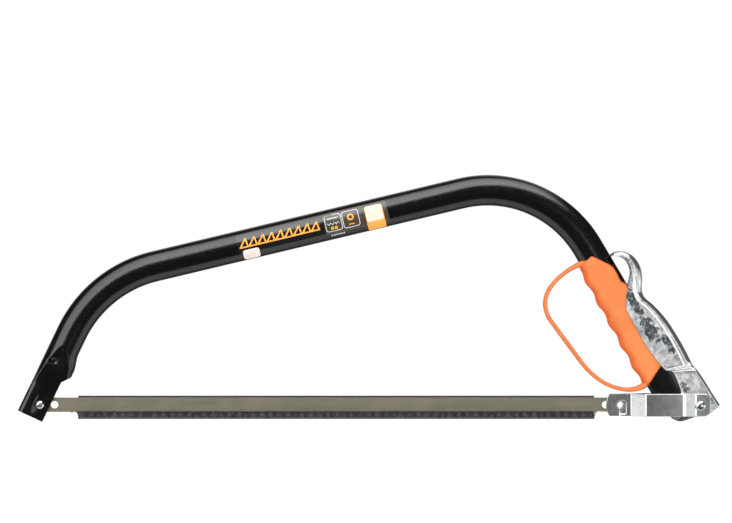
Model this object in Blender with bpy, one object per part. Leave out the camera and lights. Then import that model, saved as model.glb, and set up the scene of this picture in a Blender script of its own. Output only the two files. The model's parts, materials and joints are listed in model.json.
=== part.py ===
"""A tubular bow saw at rest, with its tensioning lever closed.

Lengths are in millimetres and each mesh is scaled to metres as it is finished. X runs from the front
leg to the handle, Z is up, and the blade lies in the plane Y = 0. The origin is midway between the two
blade pins, on the flat underside of the blade guard.
"""

import math

import bmesh
import bpy
from mathutils import Matrix, Vector

MM = 0.001
GAP = 0.3  # clearance between pieces that rest on each other

# Blade and its pins
PIN_SPACING = 530.0
PIN_Z = 13.0
BLADE_THICK = 0.8
BLADE_HOLE_R = 3.6
SECOND_HOLE_STEP, SECOND_HOLE_R = 13.2, 3.4
BLADE_END_HALF = 6.6
STUB_HIGH = 1.0  # the small first tooth, ahead of the guard
TOOTH_TIP_Z = 1.5
GULLET_Z = 6.9
TOOTHED_FROM, TOOTHED_TO = -236.0, 245.0
RAKER_WIDTH = 12.0
TOOTH_WIDTHS = (9.2, 7.3, 7.3, 9.2)
FIRST_TOOTH = 1.0  # the rearmost raker's distance in from the toothed end

# Frame tube: an oval bent twice, its front end pressed into a slotted bead for the blade
TUBE_WIDE, TUBE_DEEP, TUBE_WALL = 28.0, 18.0, 1.2
FRONT_CORNER = (-213.0, 127.0)
REAR_CORNER = (195.4, 224.2)
FRONT_RADIUS, REAR_RADIUS = 113.0, 106.0
FRONT_LEG_ANGLE, REAR_LEG_ANGLE = 64.5, 59.35
FRONT_LEG = 138.5  # from the front corner to the cut end
FRONT_WIDE, FRONT_DEEP = 31.0, 12.0
FRONT_PRESS = (70.0, 54.0)  # where the pressing starts and is complete, from the front end
REAR_WIDE, REAR_DEEP = 32.0, 13.5
REAR_PRESS = (90.0, 62.0)  # the same from the rear end
NOTCH_FROM, NOTCH_SLOPE = 39.5, 51.7  # the notch's height at the slot's lip, and its slope in degrees
NOTCH_REACH = 24.0  # how far the notch's cutter reaches inwards of the lip
PIN_CLEARANCE_R = 3.3
SLOT_LIP = 10.5  # how far the slotted end reaches inwards from the tube's centreline
SLOT_HALF = 2.7  # outer half-depth of the flat cheeks that hold the blade
CHEEK_ACROSS = (-9.0, -4.2)  # the cheeks draw together between these, inwards of the centreline
CHEEK_ALONG = (60.0, 46.0)  # and between these, from the front end
ROUND, PRESSED = 2.0, 4.0  # superellipse exponents of the plain tube and of its pressed ends

# Tension linkage
LEVER_PIVOT = (320.0, 10.6)
LINK_RIVET = (337.5, 12.3)
REAR_END_R = 10.2
PLATE_THICK = 1.5
LINK_TOP, LINK_BOTTOM = 23.2, 2.7
LINK_FRONT, LINK_REAR = 252.1, 346.8
NOSE_R = 17.4  # the link plate's shallow rounded front edge
LINK_BENDS = (275.4, 288.2, 322.6, 333.2)  # out from the blade to the middle, then in to the rivet
LINK_AT_BLADE, LINK_AT_MIDDLE, LINK_AT_RIVET = 0.7, 12.4, 8.9  # inner faces from the blade's plane
LINK_BEND_R = 1.6  # on the inside of each bend
SHEET = 1.4
EAR_OUTER, HOOD_OUTER = 8.55, 13.0
EAR_R = 12.4
CURL_FOLD, HOOD_FOLD, EAR_FOLD = 6.0, 4.2, 3.2  # outer radius of the folds between web and flanges
BEAD_RISE, BEAD_FLAT, BEAD_WIDE = 1.6, 0.4, 3.6  # raised bead along each flange, beside the fold
FOLD_STEPS, BEAD_STEPS = 5, 3
HOOK_PIN_R, HOOK_BORE_R, HOOK_SLIT = 3.2, 2.65, 1.2
HOOK_POCKET = (5.6, 4.0, -8.5, 0.8)  # pressed pocket: rearward, top and bottom from the pin, and depth
RIVET_R, RIVET_HEAD_R, RIVET_DOME = 2.5, 4.6, 1.8
RIVET_PLAY = 1.9  # clearance of the rivet in the lever's ears
SPACER_R = 5.2
PIVOT_R, BUSH_R = 3.5, 4.6
PIVOT_HEAD_R, PIVOT_DOME = 4.6, 1.2

# Front pin
WASHER_R, WASHER_THICK = 5.0, 1.0
NUT_THICK, NUT_HALF_FLATS = 4.8, 4.8
SCREW_HEAD_R, SCREW_DOME, SCREW_R, SCREW_BEYOND = 4.0, 2.1, 3.0, 1.2
SCREW_SLOT_WIDE, SCREW_SLOT_TURN = 1.2, -35.0

# Grip and its knuckle guard
GRIP_HALF = 11.2
FINGER_PITCH, FINGER_WAVE, FIRST_CREST = 22.0, 1.0, 12.8
KNUCKLE_THICK, KNUCKLE_HALF = 3.7, 7.0

# Blade guard
GUARD_FROM, GUARD_TO = -230.3, 241.4
GUARD_NEAR_TOP, GUARD_FAR_TOP, GUARD_WALL = 7.1, 21.3, 1.0
GUARD_INNER = 1.2

# Labels on the top tube: from, to, and lower and upper edges, from the front corner and the centreline
FRAME_LABEL = (132.0, 273.0, -10.0, 9.0)
SMALL_STICKER = (135.8, 151.0, 4.9, 13.5)
REAR_STICKER = (252.2, 268.9, -7.5, 13.5)
LABEL_THICK, LABEL_LIFT, STICKER_LIFT = 0.15, 0.15, 0.45

# Finishes: colour, roughness, metallic and alpha
BLACK_PAINT = ((0.012, 0.012, 0.013), 0.18, 0.0, 1.0)
ORANGE_PLASTIC = ((0.80, 0.22, 0.06), 0.45, 0.0, 1.0)
ZINC_PLATE = ((0.48, 0.49, 0.50), 0.38, 1.0, 1.0)
BRIGHT_STEEL = ((0.66, 0.67, 0.69), 0.25, 1.0, 1.0)
BLADE_LACQUER = ((0.27, 0.26, 0.19), 0.42, 0.8, 1.0)
SMOKED_PLASTIC = ((0.06, 0.05, 0.065), 0.25, 0.0, 0.8)
LABEL_FILM = ((0.02, 0.02, 0.02), 0.22, 0.0, 1.0)
WHITE_PAPER = ((0.82, 0.82, 0.80), 0.5, 0.0, 1.0)
ORANGE_PAPER = ((0.85, 0.40, 0.10), 0.5, 0.0, 1.0)

SEGMENTS = 28


# Shapes in the X-Z plane

def polar(centre, radius, degrees):
    a = math.radians(degrees)
    return centre[0] + radius * math.cos(a), centre[1] + radius * math.sin(a)


def arc(centre, radius, start, end, steps):
    return [polar(centre, radius, start + (end - start) * i / steps) for i in range(steps + 1)]


def circle(centre, radius, steps=SEGMENTS):
    return arc(centre, radius, 0, 360, steps)[:-1]


def flow(points, per_span):
    """A smooth curve through the points (Catmull-Rom)."""
    ends = [points[0]] + list(points) + [points[-1]]
    curve = []
    for i in range(len(points) - 1):
        a, b, c, d = (Vector(p) for p in ends[i:i + 4])
        for k in range(per_span):
            t = k / per_span
            curve.append(tuple(0.5 * (2 * b + (c - a) * t + (2 * a - 5 * b + 4 * c - d) * t * t
                                      + (3 * b - a - 3 * c + d) * t ** 3)))
    return curve + [tuple(points[-1])]


def rounded(corners):
    """A closed outline from (x, z, corner radius) triples."""
    outline = []
    for i, (x, z, radius) in enumerate(corners):
        here = Vector((x, z))
        if radius <= 0:
            outline.append((x, z))
            continue
        before = (Vector(corners[i - 1][:2]) - here).normalized()
        after = (Vector(corners[(i + 1) % len(corners)][:2]) - here).normalized()
        half = before.angle(after) / 2
        reach = radius / math.tan(half)
        centre = here + (before + after).normalized() * radius / math.sin(half)
        first = here + before * reach - centre
        last = here + after * reach - centre
        turn = first.angle_signed(last)
        steps = max(3, round(abs(math.degrees(turn)) / 15))
        for k in range(steps + 1):
            outline.append(tuple(centre + Matrix.Rotation(-turn * k / steps, 2) @ first))
    return outline


# Materials and objects

def material(name, colour, roughness, metallic, alpha):
    made = bpy.data.materials.new(name)
    made.use_nodes = True
    shader = made.node_tree.nodes["Principled BSDF"]
    shader.inputs["Base Color"].default_value = (*colour, 1.0)
    shader.inputs["Roughness"].default_value = roughness
    shader.inputs["Metallic"].default_value = metallic
    shader.inputs["Alpha"].default_value = alpha
    return made


def axis_empty(name, origin, parent=None):
    """An empty on a joint's axis. Its custom origin is kept in millimetres."""
    empty = bpy.data.objects.new(name, None)
    bpy.context.scene.collection.objects.link(empty)
    empty["origin"] = origin
    empty.parent = parent
    start = Vector(parent["origin"]) if parent else Vector((0, 0, 0))
    empty.location = (Vector(origin) - start) * MM
    return empty


def finish(bm, name, parent, surface=None, smooth=30.0):
    """Turns a bmesh drawn in saw coordinates into an object that turns about its parent's axis, with a
    material of its own. Without a finish it is a cutter, which isn't part of the saw."""
    origin = Vector(parent["origin"])
    bmesh.ops.translate(bm, verts=bm.verts, vec=-origin)
    bmesh.ops.scale(bm, verts=bm.verts, vec=(MM, MM, MM))
    bmesh.ops.recalc_face_normals(bm, faces=bm.faces)
    if bm.calc_volume(signed=True) < 0:
        bmesh.ops.reverse_faces(bm, faces=bm.faces)
    mesh = bpy.data.meshes.new(name)
    bm.to_mesh(mesh)
    bm.free()
    mesh.shade_smooth()
    mesh.set_sharp_from_angle(angle=math.radians(smooth))
    made = bpy.data.objects.new(name, mesh)
    bpy.context.scene.collection.objects.link(made)
    made.parent = parent
    if surface:
        mesh.materials.append(material(name + " finish", *surface))
    else:
        made.hide_render = True
        made.display_type = "WIRE"
    return made


def prism(outline, near, far):
    """The outline of (x, z) points carried through Y from near to far."""
    bm = bmesh.new()
    face = bm.faces.new([bm.verts.new((x, near, z)) for x, z in outline])
    carried = bmesh.ops.extrude_face_region(bm, geom=[face])["geom"]
    moved = [v for v in carried if isinstance(v, bmesh.types.BMVert)]
    bmesh.ops.translate(bm, verts=moved, vec=(0, far - near, 0))
    return bm


def upright(plan, bottom, top):
    """A plan outline of (x, y) points carried through Z from bottom to top."""
    bm = bmesh.new()
    face = bm.faces.new([bm.verts.new((x, y, bottom)) for x, y in plan])
    carried = bmesh.ops.extrude_face_region(bm, geom=[face])["geom"]
    moved = [v for v in carried if isinstance(v, bmesh.types.BMVert)]
    bmesh.ops.translate(bm, verts=moved, vec=(0, 0, top - bottom))
    return bm


def turned(centre, profile, steps=SEGMENTS):
    """A turned piece about the Y line through centre, from (radius, y) points in order along Y."""
    bm = bmesh.new()
    rings = []
    for radius, y in profile:
        if radius == 0:
            rings.append([bm.verts.new((centre[0], y, centre[1]))])
        else:
            rings.append([bm.verts.new((x, y, z)) for x, z in circle(centre, radius, steps)])
    for lower, upper in zip(rings, rings[1:]):
        for i in range(steps):
            j = (i + 1) % steps
            corners = [lower[i % len(lower)], lower[j % len(lower)],
                       upper[j % len(upper)], upper[i % len(upper)]]
            bm.faces.new(list(dict.fromkeys(corners)))
    for ring in (rings[0], rings[-1]):
        if len(ring) > 2:
            bm.faces.new(ring)
    return bm


def rod(centre, radius, half_length, steps=SEGMENTS):
    """A plain cylinder about the Y line through centre."""
    return turned(centre, [(radius, -half_length), (radius, half_length)], steps)


def dome(radius, height, seat):
    """The (radius, y) points of a domed head that rises from y = seat towards -Y, crown first."""
    return [(radius * math.sin(math.radians(a)), seat - height * math.cos(math.radians(a)))
            for a in (0, 20, 40, 60, 75, 90)]


def tube_of(centre, outer, inner, near, far, steps=SEGMENTS):
    """A plain ring about the Y line through centre."""
    bm = bmesh.new()
    loops = [[bm.verts.new((x, y, z)) for x, z in circle(centre, radius, steps)]
             for radius, y in ((outer, near), (outer, far), (inner, far), (inner, near))]
    for a, b in zip(loops, loops[1:] + loops[:1]):
        for i in range(steps):
            j = (i + 1) % steps
            bm.faces.new((a[i], a[j], b[j], b[i]))
    return bm


def boolean(target, other, operation="DIFFERENCE"):
    step = target.modifiers.new(operation.title() + " " + other.name, "BOOLEAN")
    step.operation = operation
    step.object = other
    step.solver = "EXACT"


def bevel(target, width, segments=2, angle=40.0):
    step = target.modifiers.new("Edge rounding", "BEVEL")
    step.width = width * MM
    step.segments = segments
    step.limit_method = "ANGLE"
    step.angle_limit = math.radians(angle)


# The bow's centreline

def bow_path(corner_steps=12):
    """Stations of (point, direction) from the cut front end to past the lever pivot."""
    up = Vector(polar((0, 0), 1, FRONT_LEG_ANGLE))
    first, second = Vector(FRONT_CORNER), Vector(REAR_CORNER)
    along = (second - first).normalized()
    down = Vector(polar((0, 0), 1, -REAR_LEG_ANGLE))
    start = first - up * FRONT_LEG
    stop = second + down * ((Vector(LEVER_PIVOT) - second).dot(down) + REAR_END_R + 1)
    stations = [(start, up)]
    stations += [(start + up * d, up) for d in steps_between(CHEEK_ALONG[1], FRONT_PRESS[0], 6)]
    for corner, before, after, radius in ((first, up, along, FRONT_RADIUS),
                                          (second, along, down, REAR_RADIUS)):
        turn = before.angle(after)
        reach = radius * math.tan(turn / 2)
        side = Vector((before.y, -before.x))
        centre = corner - before * reach + side * radius
        for k in range(corner_steps + 1):
            turned_by = Matrix.Rotation(-turn * k / corner_steps, 2)
            stations.append((centre + turned_by @ (-side * radius), turned_by @ before))
    stations += [(stop - down * d, down) for d in steps_between(*REAR_PRESS, 4)]
    return stations + [(stop, down)]


def steps_between(start, stop, count):
    return [start + (stop - start) * i / count for i in range(count + 1)]


def ease(value):
    value = min(max(value, 0), 1)
    return value * value * (3 - 2 * value)


def falling(value, span):
    """1 at the far end of a (from, to) span and beyond, 0 before it, eased between."""
    return ease((span[0] - value) / (span[0] - span[1]))


def tube_section(from_front, from_rear, inset):
    """One ring of (inward, depth) points, inset from the outer skin. Both ends are pressed, which
    widens them inwards, and the front end is pinched flat towards the blade's slot."""
    front = falling(from_front, FRONT_PRESS)
    rear = falling(from_rear, REAR_PRESS)
    wide = TUBE_WIDE + (FRONT_WIDE - TUBE_WIDE) * front + (REAR_WIDE - TUBE_WIDE) * rear
    deep = TUBE_DEEP + (FRONT_DEEP - TUBE_DEEP) * front + (REAR_DEEP - TUBE_DEEP) * rear
    power = ROUND + (PRESSED - ROUND) * max(front, rear)
    shift = (wide - TUBE_WIDE) / 2
    section = []
    for i in range(SEGMENTS):
        a = 2 * math.pi * i / SEGMENTS
        inward = shift + (wide / 2 - inset) * math.cos(a)
        bulge = (1 - abs(math.cos(a)) ** power) ** (1 / power)
        depth = math.copysign((deep / 2 - inset) * bulge, math.sin(a))
        flat = math.copysign(min(abs(depth), SLOT_HALF - inset), depth)
        cheek = falling(from_front, CHEEK_ALONG) * falling(-inward, (-CHEEK_ACROSS[0], -CHEEK_ACROSS[1]))
        section.append((inward, depth + (flat - depth) * cheek))
    return section


def bow_skin(inset, beyond_ends=0.0):
    """One skin of the tube as rings of points, front end first."""
    path = bow_path()
    travelled = [0.0]
    for (here, _), (after, _) in zip(path, path[1:]):
        travelled.append(travelled[-1] + (after - here).length)
    rings = []
    for k, (point, direction) in enumerate(path):
        if k == 0:
            point = point - direction * beyond_ends
        if k == len(path) - 1:
            point = point + direction * beyond_ends
        inwards = Vector((direction.y, -direction.x))
        section = tube_section(travelled[k], travelled[-1] - travelled[k], inset)
        places = [(point + inwards * inward, depth) for inward, depth in section]
        rings.append([(place.x, depth, place.y) for place, depth in places])
    return rings


def skin_solid(rings):
    bm = bmesh.new()
    loops = [[bm.verts.new(p) for p in ring] for ring in rings]
    count = len(loops[0])
    for a, b in zip(loops, loops[1:]):
        for i in range(count):
            j = (i + 1) % count
            bm.faces.new((a[i], a[j], b[j], b[i]))
    bm.faces.new(loops[0])
    bm.faces.new(loops[-1])
    return bm


# Frame pieces, which stay still

def make_frame_tube(frame):
    tube = finish(skin_solid(bow_skin(0.0)), "frame_tube", frame, BLACK_PAINT)
    bore = finish(skin_solid(bow_skin(TUBE_WALL, 5.0)), "tube_bore", frame)
    boolean(tube, bore)

    up = Vector(polar((0, 0), 1, FRONT_LEG_ANGLE))
    inwards = Vector((up.y, -up.x))
    end = Vector(FRONT_CORNER) - up * FRONT_LEG
    far_side = SLOT_LIP + NOTCH_REACH
    rise = NOTCH_REACH * math.tan(math.radians(NOTCH_SLOPE))
    notch = [(SLOT_LIP, -3), (far_side, -3), (far_side, NOTCH_FROM + rise), (SLOT_LIP, NOTCH_FROM)]
    notch = [tuple(end + inwards * a + up * b) for a, b in notch]
    boolean(tube, finish(prism(notch, -TUBE_DEEP, TUBE_DEEP), "blade_notch", frame))
    pin_hole = rod((-PIN_SPACING / 2, PIN_Z), PIN_CLEARANCE_R, TUBE_DEEP)
    boolean(tube, finish(pin_hole, "pin_hole", frame))

    down = Vector(polar((0, 0), 1, -REAR_LEG_ANGLE))
    across = Vector((-down.y, down.x)) * 4 * REAR_END_R
    below = down * 4 * REAR_END_R
    pivot = Vector(LEVER_PIVOT)
    outline = [tuple(pivot + offset) for offset in (across, across + below, below - across, -across)]
    outline += arc(LEVER_PIVOT, REAR_END_R, -90 - REAR_LEG_ANGLE, 90 - REAR_LEG_ANGLE, 14)
    boolean(tube, finish(prism(outline, -TUBE_DEEP, TUBE_DEEP), "rear_end_cut", frame))
    bush_hole = rod(LEVER_PIVOT, BUSH_R + GAP, TUBE_DEEP)
    boolean(tube, finish(bush_hole, "bush_hole", frame))


def make_front_pin(frame):
    """A slotted dome-headed screw, a washer and a hexagon nut hold the blade in the slotted tube end."""
    pin = (-PIN_SPACING / 2, PIN_Z)
    seat = SLOT_HALF + GAP
    nut_from = seat + WASHER_THICK + GAP
    end = nut_from + NUT_THICK + SCREW_BEYOND
    rim = 0.5
    profile = dome(SCREW_HEAD_R, SCREW_DOME, -seat - rim)
    profile += [(SCREW_HEAD_R, -seat), (SCREW_R, -seat), (SCREW_R, end - rim), (SCREW_R - rim, end)]
    screw = finish(turned(pin, profile), "front_pin_screw", frame, BRIGHT_STEEL)
    half = SCREW_SLOT_WIDE / 2
    beyond = SCREW_HEAD_R + 2
    slot = prism([(pin[0] - beyond, PIN_Z - half), (pin[0] + beyond, PIN_Z - half),
                  (pin[0] + beyond, PIN_Z + half), (pin[0] - beyond, PIN_Z + half)],
                 -seat - 2 * SCREW_DOME, -seat - SCREW_DOME / 2)
    bmesh.ops.rotate(slot, verts=slot.verts, cent=(pin[0], 0, PIN_Z),
                     matrix=Matrix.Rotation(math.radians(SCREW_SLOT_TURN), 3, "Y"))
    boolean(screw, finish(slot, "screw_slot", frame))
    washer = tube_of(pin, WASHER_R, PIN_CLEARANCE_R, seat, seat + WASHER_THICK)
    finish(washer, "front_pin_washer", frame, BRIGHT_STEEL)
    hexagon = circle(pin, NUT_HALF_FLATS / math.cos(math.radians(30)), 6)
    nut = prism(hexagon, nut_from, nut_from + NUT_THICK)
    nut = finish(nut, "front_pin_nut", frame, BRIGHT_STEEL)
    boolean(nut, finish(rod(pin, PIN_CLEARANCE_R, 3 * NUT_THICK), "nut_bore", frame))
    bevel(nut, 0.3, 1, 50)


def finger_edge():
    """The grip's finger edge, top to bottom: a straight run with a wave for each finger."""
    top, bottom = Vector((228.8, 136.1)), Vector((284.6, 34.6))
    along = (bottom - top).normalized()
    outwards = Vector((along.y, -along.x))
    length = (bottom - top).length
    steps = 40
    edge = []
    for i in range(steps + 1):
        s = length * i / steps
        wave = FINGER_WAVE * math.cos(2 * math.pi * (s - FIRST_CREST) / FINGER_PITCH)
        edge.append(tuple(top + along * s + outwards * (wave - FINGER_WAVE / 5)))
    return edge


def make_grip(frame):
    """The grip and its knuckle guard are one moulding, open at the back so that it snaps over the tube."""
    back = [(288.3, 29.8), (292.6, 33.4), (297.6, 41.4), (301.2, 46.6), (307.8, 58.0)]
    top = [(272.4, 120.6), (265.8, 126.2), (261.8, 134.0), (257.6, 139.8), (238.8, 149.8),
           (234.6, 149.4), (228.2, 144.6), (227.4, 140.6)]
    body = finger_edge() + back + top
    grip = finish(prism(body, -GRIP_HALF, GRIP_HALF), "grip", frame, ORANGE_PLASTIC)
    bevel(grip, 2.2, 3, 50)
    knuckle = flow([(237, 143.5), (226, 140.4), (215.5, 134.4), (205.0, 125.0), (198.6, 115.4),
                    (196.5, 105.0), (199.2, 94.0), (206.2, 83.6), (214.8, 71.9), (223.5, 60.1),
                    (232.4, 48.4), (242.0, 38.9), (254.6, 31.0), (269.0, 27.0), (281.0, 28.0),
                    (289.0, 32.8), (292.5, 40.5)], 3)
    strap = finish(ribbon(knuckle, KNUCKLE_THICK, KNUCKLE_HALF), "knuckle_guard", frame)
    bevel(strap, 1.1, 2, 50)
    boolean(grip, strap, "UNION")
    boolean(grip, finish(skin_solid(bow_skin(-GAP, 5.0)), "grip_channel", frame))


def ribbon(path, thickness, half_width):
    """A strap of even thickness whose centreline is the (x, z) path."""
    left, right = [], []
    for i, point in enumerate(path):
        before = Vector(path[max(i - 1, 0)])
        after = Vector(path[min(i + 1, len(path) - 1)])
        along = (after - before).normalized()
        aside = Vector((-along.y, along.x)) * thickness / 2
        left.append(tuple(Vector(point) + aside))
        right.append(tuple(Vector(point) - aside))
    return prism(left + right[::-1], -half_width, half_width)


def make_label(frame, name, surface, place, lift):
    """A thin film that follows the near side of the top tube."""
    start, stop, low, high = place
    first, second = Vector(FRONT_CORNER), Vector(REAR_CORNER)
    along = (second - first).normalized()
    inwards = Vector((along.y, -along.x))
    rows = 8
    bm = bmesh.new()
    rings = []
    for distance in (start, stop):
        ring = []
        for grown in (lift, lift + LABEL_THICK):
            half_wide, half_deep = TUBE_WIDE / 2 + grown, TUBE_DEEP / 2 + grown
            around = steps_between(math.asin(low / half_wide), math.asin(high / half_wide), rows)
            heights = [half_wide * math.sin(a) for a in around]
            skin = [(u, -half_deep * math.sqrt(1 - (u / half_wide) ** 2)) for u in heights]
            ring += skin if grown == lift else skin[::-1]
        places = [(first + along * distance + inwards * u, y) for u, y in ring]
        rings.append([bm.verts.new((p.x, y, p.y)) for p, y in places])
    count = len(rings[0])
    for i in range(count):
        j = (i + 1) % count
        bm.faces.new((rings[0][i], rings[0][j], rings[1][j], rings[1][i]))
    for ring in rings:
        for i in range(rows):
            bm.faces.new((ring[i], ring[i + 1], ring[count - 2 - i], ring[count - 1 - i]))
    finish(bm, name, frame, surface)


# Blade and guard

def blade_outline():
    """Back edge front to rear, then the teeth rear to front: a raker and four cutting teeth by turns."""
    front, rear = -PIN_SPACING / 2, PIN_SPACING / 2
    outline = arc((front, PIN_Z), BLADE_END_HALF, 270, 90, 8)
    outline += arc((rear, PIN_Z), BLADE_END_HALF, 90, -90, 8)
    x = TOOTHED_TO - FIRST_TOOTH
    place = 0
    while x - RAKER_WIDTH > TOOTHED_FROM:
        if place == 0:
            outline += raker(x)
            x -= RAKER_WIDTH
        else:
            width = TOOTH_WIDTHS[place - 1]
            outline += [(x, GULLET_Z), (x - width * 0.42, TOOTH_TIP_Z),
                        (x - width * 0.58, TOOTH_TIP_Z)]
            x -= width
        place = (place + 1) % (len(TOOTH_WIDTHS) + 1)
    edge = PIN_Z - BLADE_END_HALF
    outline += [(x, GULLET_Z), (x, edge)]
    stub = TOOTHED_FROM - STUB_HIGH
    outline += [(stub + 2 * STUB_HIGH, edge), (stub + 1.5 * STUB_HIGH, edge - STUB_HIGH)]
    outline += [(stub + 0.5 * STUB_HIGH, edge - STUB_HIGH), (stub, edge)]
    return outline


def raker(x):
    """A flat-topped tooth with a V notch in its middle."""
    tip = TOOTH_TIP_Z + 0.3
    return [(x, GULLET_Z), (x - 2.2, tip), (x - 4.2, tip), (x - 6.0, GULLET_Z - 2),
            (x - 7.8, tip), (x - 9.8, tip)]


def make_blade(swing):
    half = BLADE_THICK / 2
    blade = finish(prism(blade_outline(), -half, half), "saw_blade", swing, BLADE_LACQUER)
    for side in (-1, 1):
        for inset, radius in ((0, BLADE_HOLE_R), (SECOND_HOLE_STEP, SECOND_HOLE_R)):
            centre = (side * (PIN_SPACING / 2 - inset), PIN_Z)
            boolean(blade, finish(rod(centre, radius, 2, 20), "blade_hole", swing))


def make_guard(slide):
    """A channel over the teeth whose far wall also covers the blade's back."""
    inner, outer = GUARD_INNER, GUARD_INNER + GUARD_WALL
    section = [(-outer, 0), (outer, 0), (outer, GUARD_FAR_TOP), (inner, GUARD_FAR_TOP),
               (inner, GUARD_WALL), (-inner, GUARD_WALL), (-inner, GUARD_NEAR_TOP),
               (-outer, GUARD_NEAR_TOP)]
    bm = bmesh.new()
    start, stop = GUARD_FROM - 6, GUARD_TO + 4
    face = bm.faces.new([bm.verts.new((start, y, z)) for y, z in section])
    carried = bmesh.ops.extrude_face_region(bm, geom=[face])["geom"]
    moved = [v for v in carried if isinstance(v, bmesh.types.BMVert)]
    bmesh.ops.translate(bm, verts=moved, vec=(stop - start, 0, 0))
    guard = finish(bm, "blade_guard", slide, SMOKED_PLASTIC)
    for name, end, lean, away in (("guard_front_end", GUARD_FROM, -2.0, -30),
                                  ("guard_rear_end", GUARD_TO, -0.8, 30)):
        outline = [(end, -1), (end, 3.2), (end + lean * 0.4, 5.2),
                   (end + lean, GUARD_NEAR_TOP - 0.6), (end + lean, GUARD_NEAR_TOP + 0.2),
                   (end, GUARD_NEAR_TOP + 0.8), (end, 40), (end + away, 40), (end + away, -1)]
        boolean(guard, finish(prism(outline, -5, 5), name, slide))


# Tension link and lever

def plate_plan():
    """The link plate's edge seen from above, on the +Y side: an even strip with rounded bends."""
    bends = LINK_BENDS
    line = [(LINK_FRONT, LINK_AT_BLADE), (bends[0], LINK_AT_BLADE), (bends[1], LINK_AT_MIDDLE),
            (bends[2], LINK_AT_MIDDLE), (bends[3], LINK_AT_RIVET), (LINK_REAR, LINK_AT_RIVET)]
    inner, outer = [], []
    for i, point in enumerate(line):
        here = Vector(point)
        before = (here - Vector(line[max(i - 1, 0)])).normalized()
        after = (Vector(line[min(i + 1, len(line) - 1)]) - here).normalized()
        middle = (before + after).normalized()
        aside = Vector((-middle.y, middle.x))
        edge = before if i else after
        place = here + aside * PLATE_THICK / aside.dot(Vector((-edge.y, edge.x)))
        turns = 0 < i < len(line) - 1
        outwards = before.angle_signed(after) < 0 if turns else False
        tight, wide = (LINK_BEND_R, LINK_BEND_R + PLATE_THICK) if turns else (0, 0)
        inner.append((*point, wide if outwards else tight))
        outer.append((*place, tight if outwards else wide))
    return rounded(inner + outer[::-1])


def make_link_plate(name, side, link):
    plan = [(x, side * y) for x, y in plate_plan()]
    plate = finish(upright(plan, LINK_BOTTOM - 5, LINK_TOP + 5), name, link, ZINC_PLATE, 20)
    half = (LINK_TOP - LINK_BOTTOM) / 2
    nose = math.degrees(math.asin(half / NOSE_R))
    outline = arc((LINK_FRONT + NOSE_R, LINK_BOTTOM + half), NOSE_R, 180 - nose, 180 + nose, 8)
    outline += rounded([(LINK_REAR - 20, LINK_BOTTOM, 0), (LINK_REAR, LINK_BOTTOM, 6),
                        (LINK_REAR, LINK_TOP, 6), (LINK_REAR - 20, LINK_TOP, 0)])
    boolean(plate, finish(prism(outline, -40, 40), "plate_outline", link), "INTERSECT")
    hook_x = PIN_SPACING / 2
    boolean(plate, finish(rod((hook_x, PIN_Z), HOOK_PIN_R + GAP, 8), "hook_hole", link))
    boolean(plate, finish(hook_slit(PIN_Z), "hook_slit", link))
    rearward, above, below, depth = HOOK_POCKET
    pocket = rounded([(hook_x, PIN_Z + below, 0), (hook_x + rearward, PIN_Z + below, 1.6),
                      (hook_x + rearward, PIN_Z + above, 2.4), (hook_x, PIN_Z + above, 0)])
    floor = LINK_AT_BLADE + PLATE_THICK - depth
    boolean(plate, finish(prism(pocket, side * floor, side * 8), "hook_pocket", link))
    boolean(plate, finish(rod(LINK_RIVET, RIVET_R + GAP, 30, 16), "rivet_hole", link))


def hook_slit(depth):
    """A cutter for the slit that runs down from the hook pin's axis."""
    left, right = PIN_SPACING / 2 - HOOK_SLIT / 2, PIN_SPACING / 2 + HOOK_SLIT / 2
    slit = [(left, PIN_Z), (right, PIN_Z), (right, PIN_Z - depth), (left, PIN_Z - depth)]
    return prism(slit, -8, 8)


def make_hook_pin(link):
    """A rolled pin with its slit downwards, which carries the blade between the plates."""
    end = LINK_AT_BLADE + PLATE_THICK
    pin = tube_of((PIN_SPACING / 2, PIN_Z), HOOK_PIN_R, HOOK_BORE_R, -end, end)
    pin = finish(pin, "blade_hook_pin", link, BRIGHT_STEEL)
    boolean(pin, finish(hook_slit(2 * HOOK_PIN_R), "pin_slit", link))


def make_link_rivet(link):
    """A double-domed rivet through both plates and the lever's ears, with a spacer on its shank."""
    seat = LINK_AT_RIVET + PLATE_THICK + GAP
    near = dome(RIVET_HEAD_R, RIVET_DOME, -seat - 0.4) + [(RIVET_HEAD_R, -seat), (RIVET_R, -seat)]
    far = [(radius, -y) for radius, y in reversed(near)]
    finish(turned(LINK_RIVET, near + far, 20), "link_rivet", link, BRIGHT_STEEL)
    reach = EAR_OUTER - SHEET - GAP
    spacer = tube_of(LINK_RIVET, SPACER_R, RIVET_R + GAP, -reach, reach, 20)
    finish(spacer, "link_spacer", link, BRIGHT_STEEL)


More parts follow.
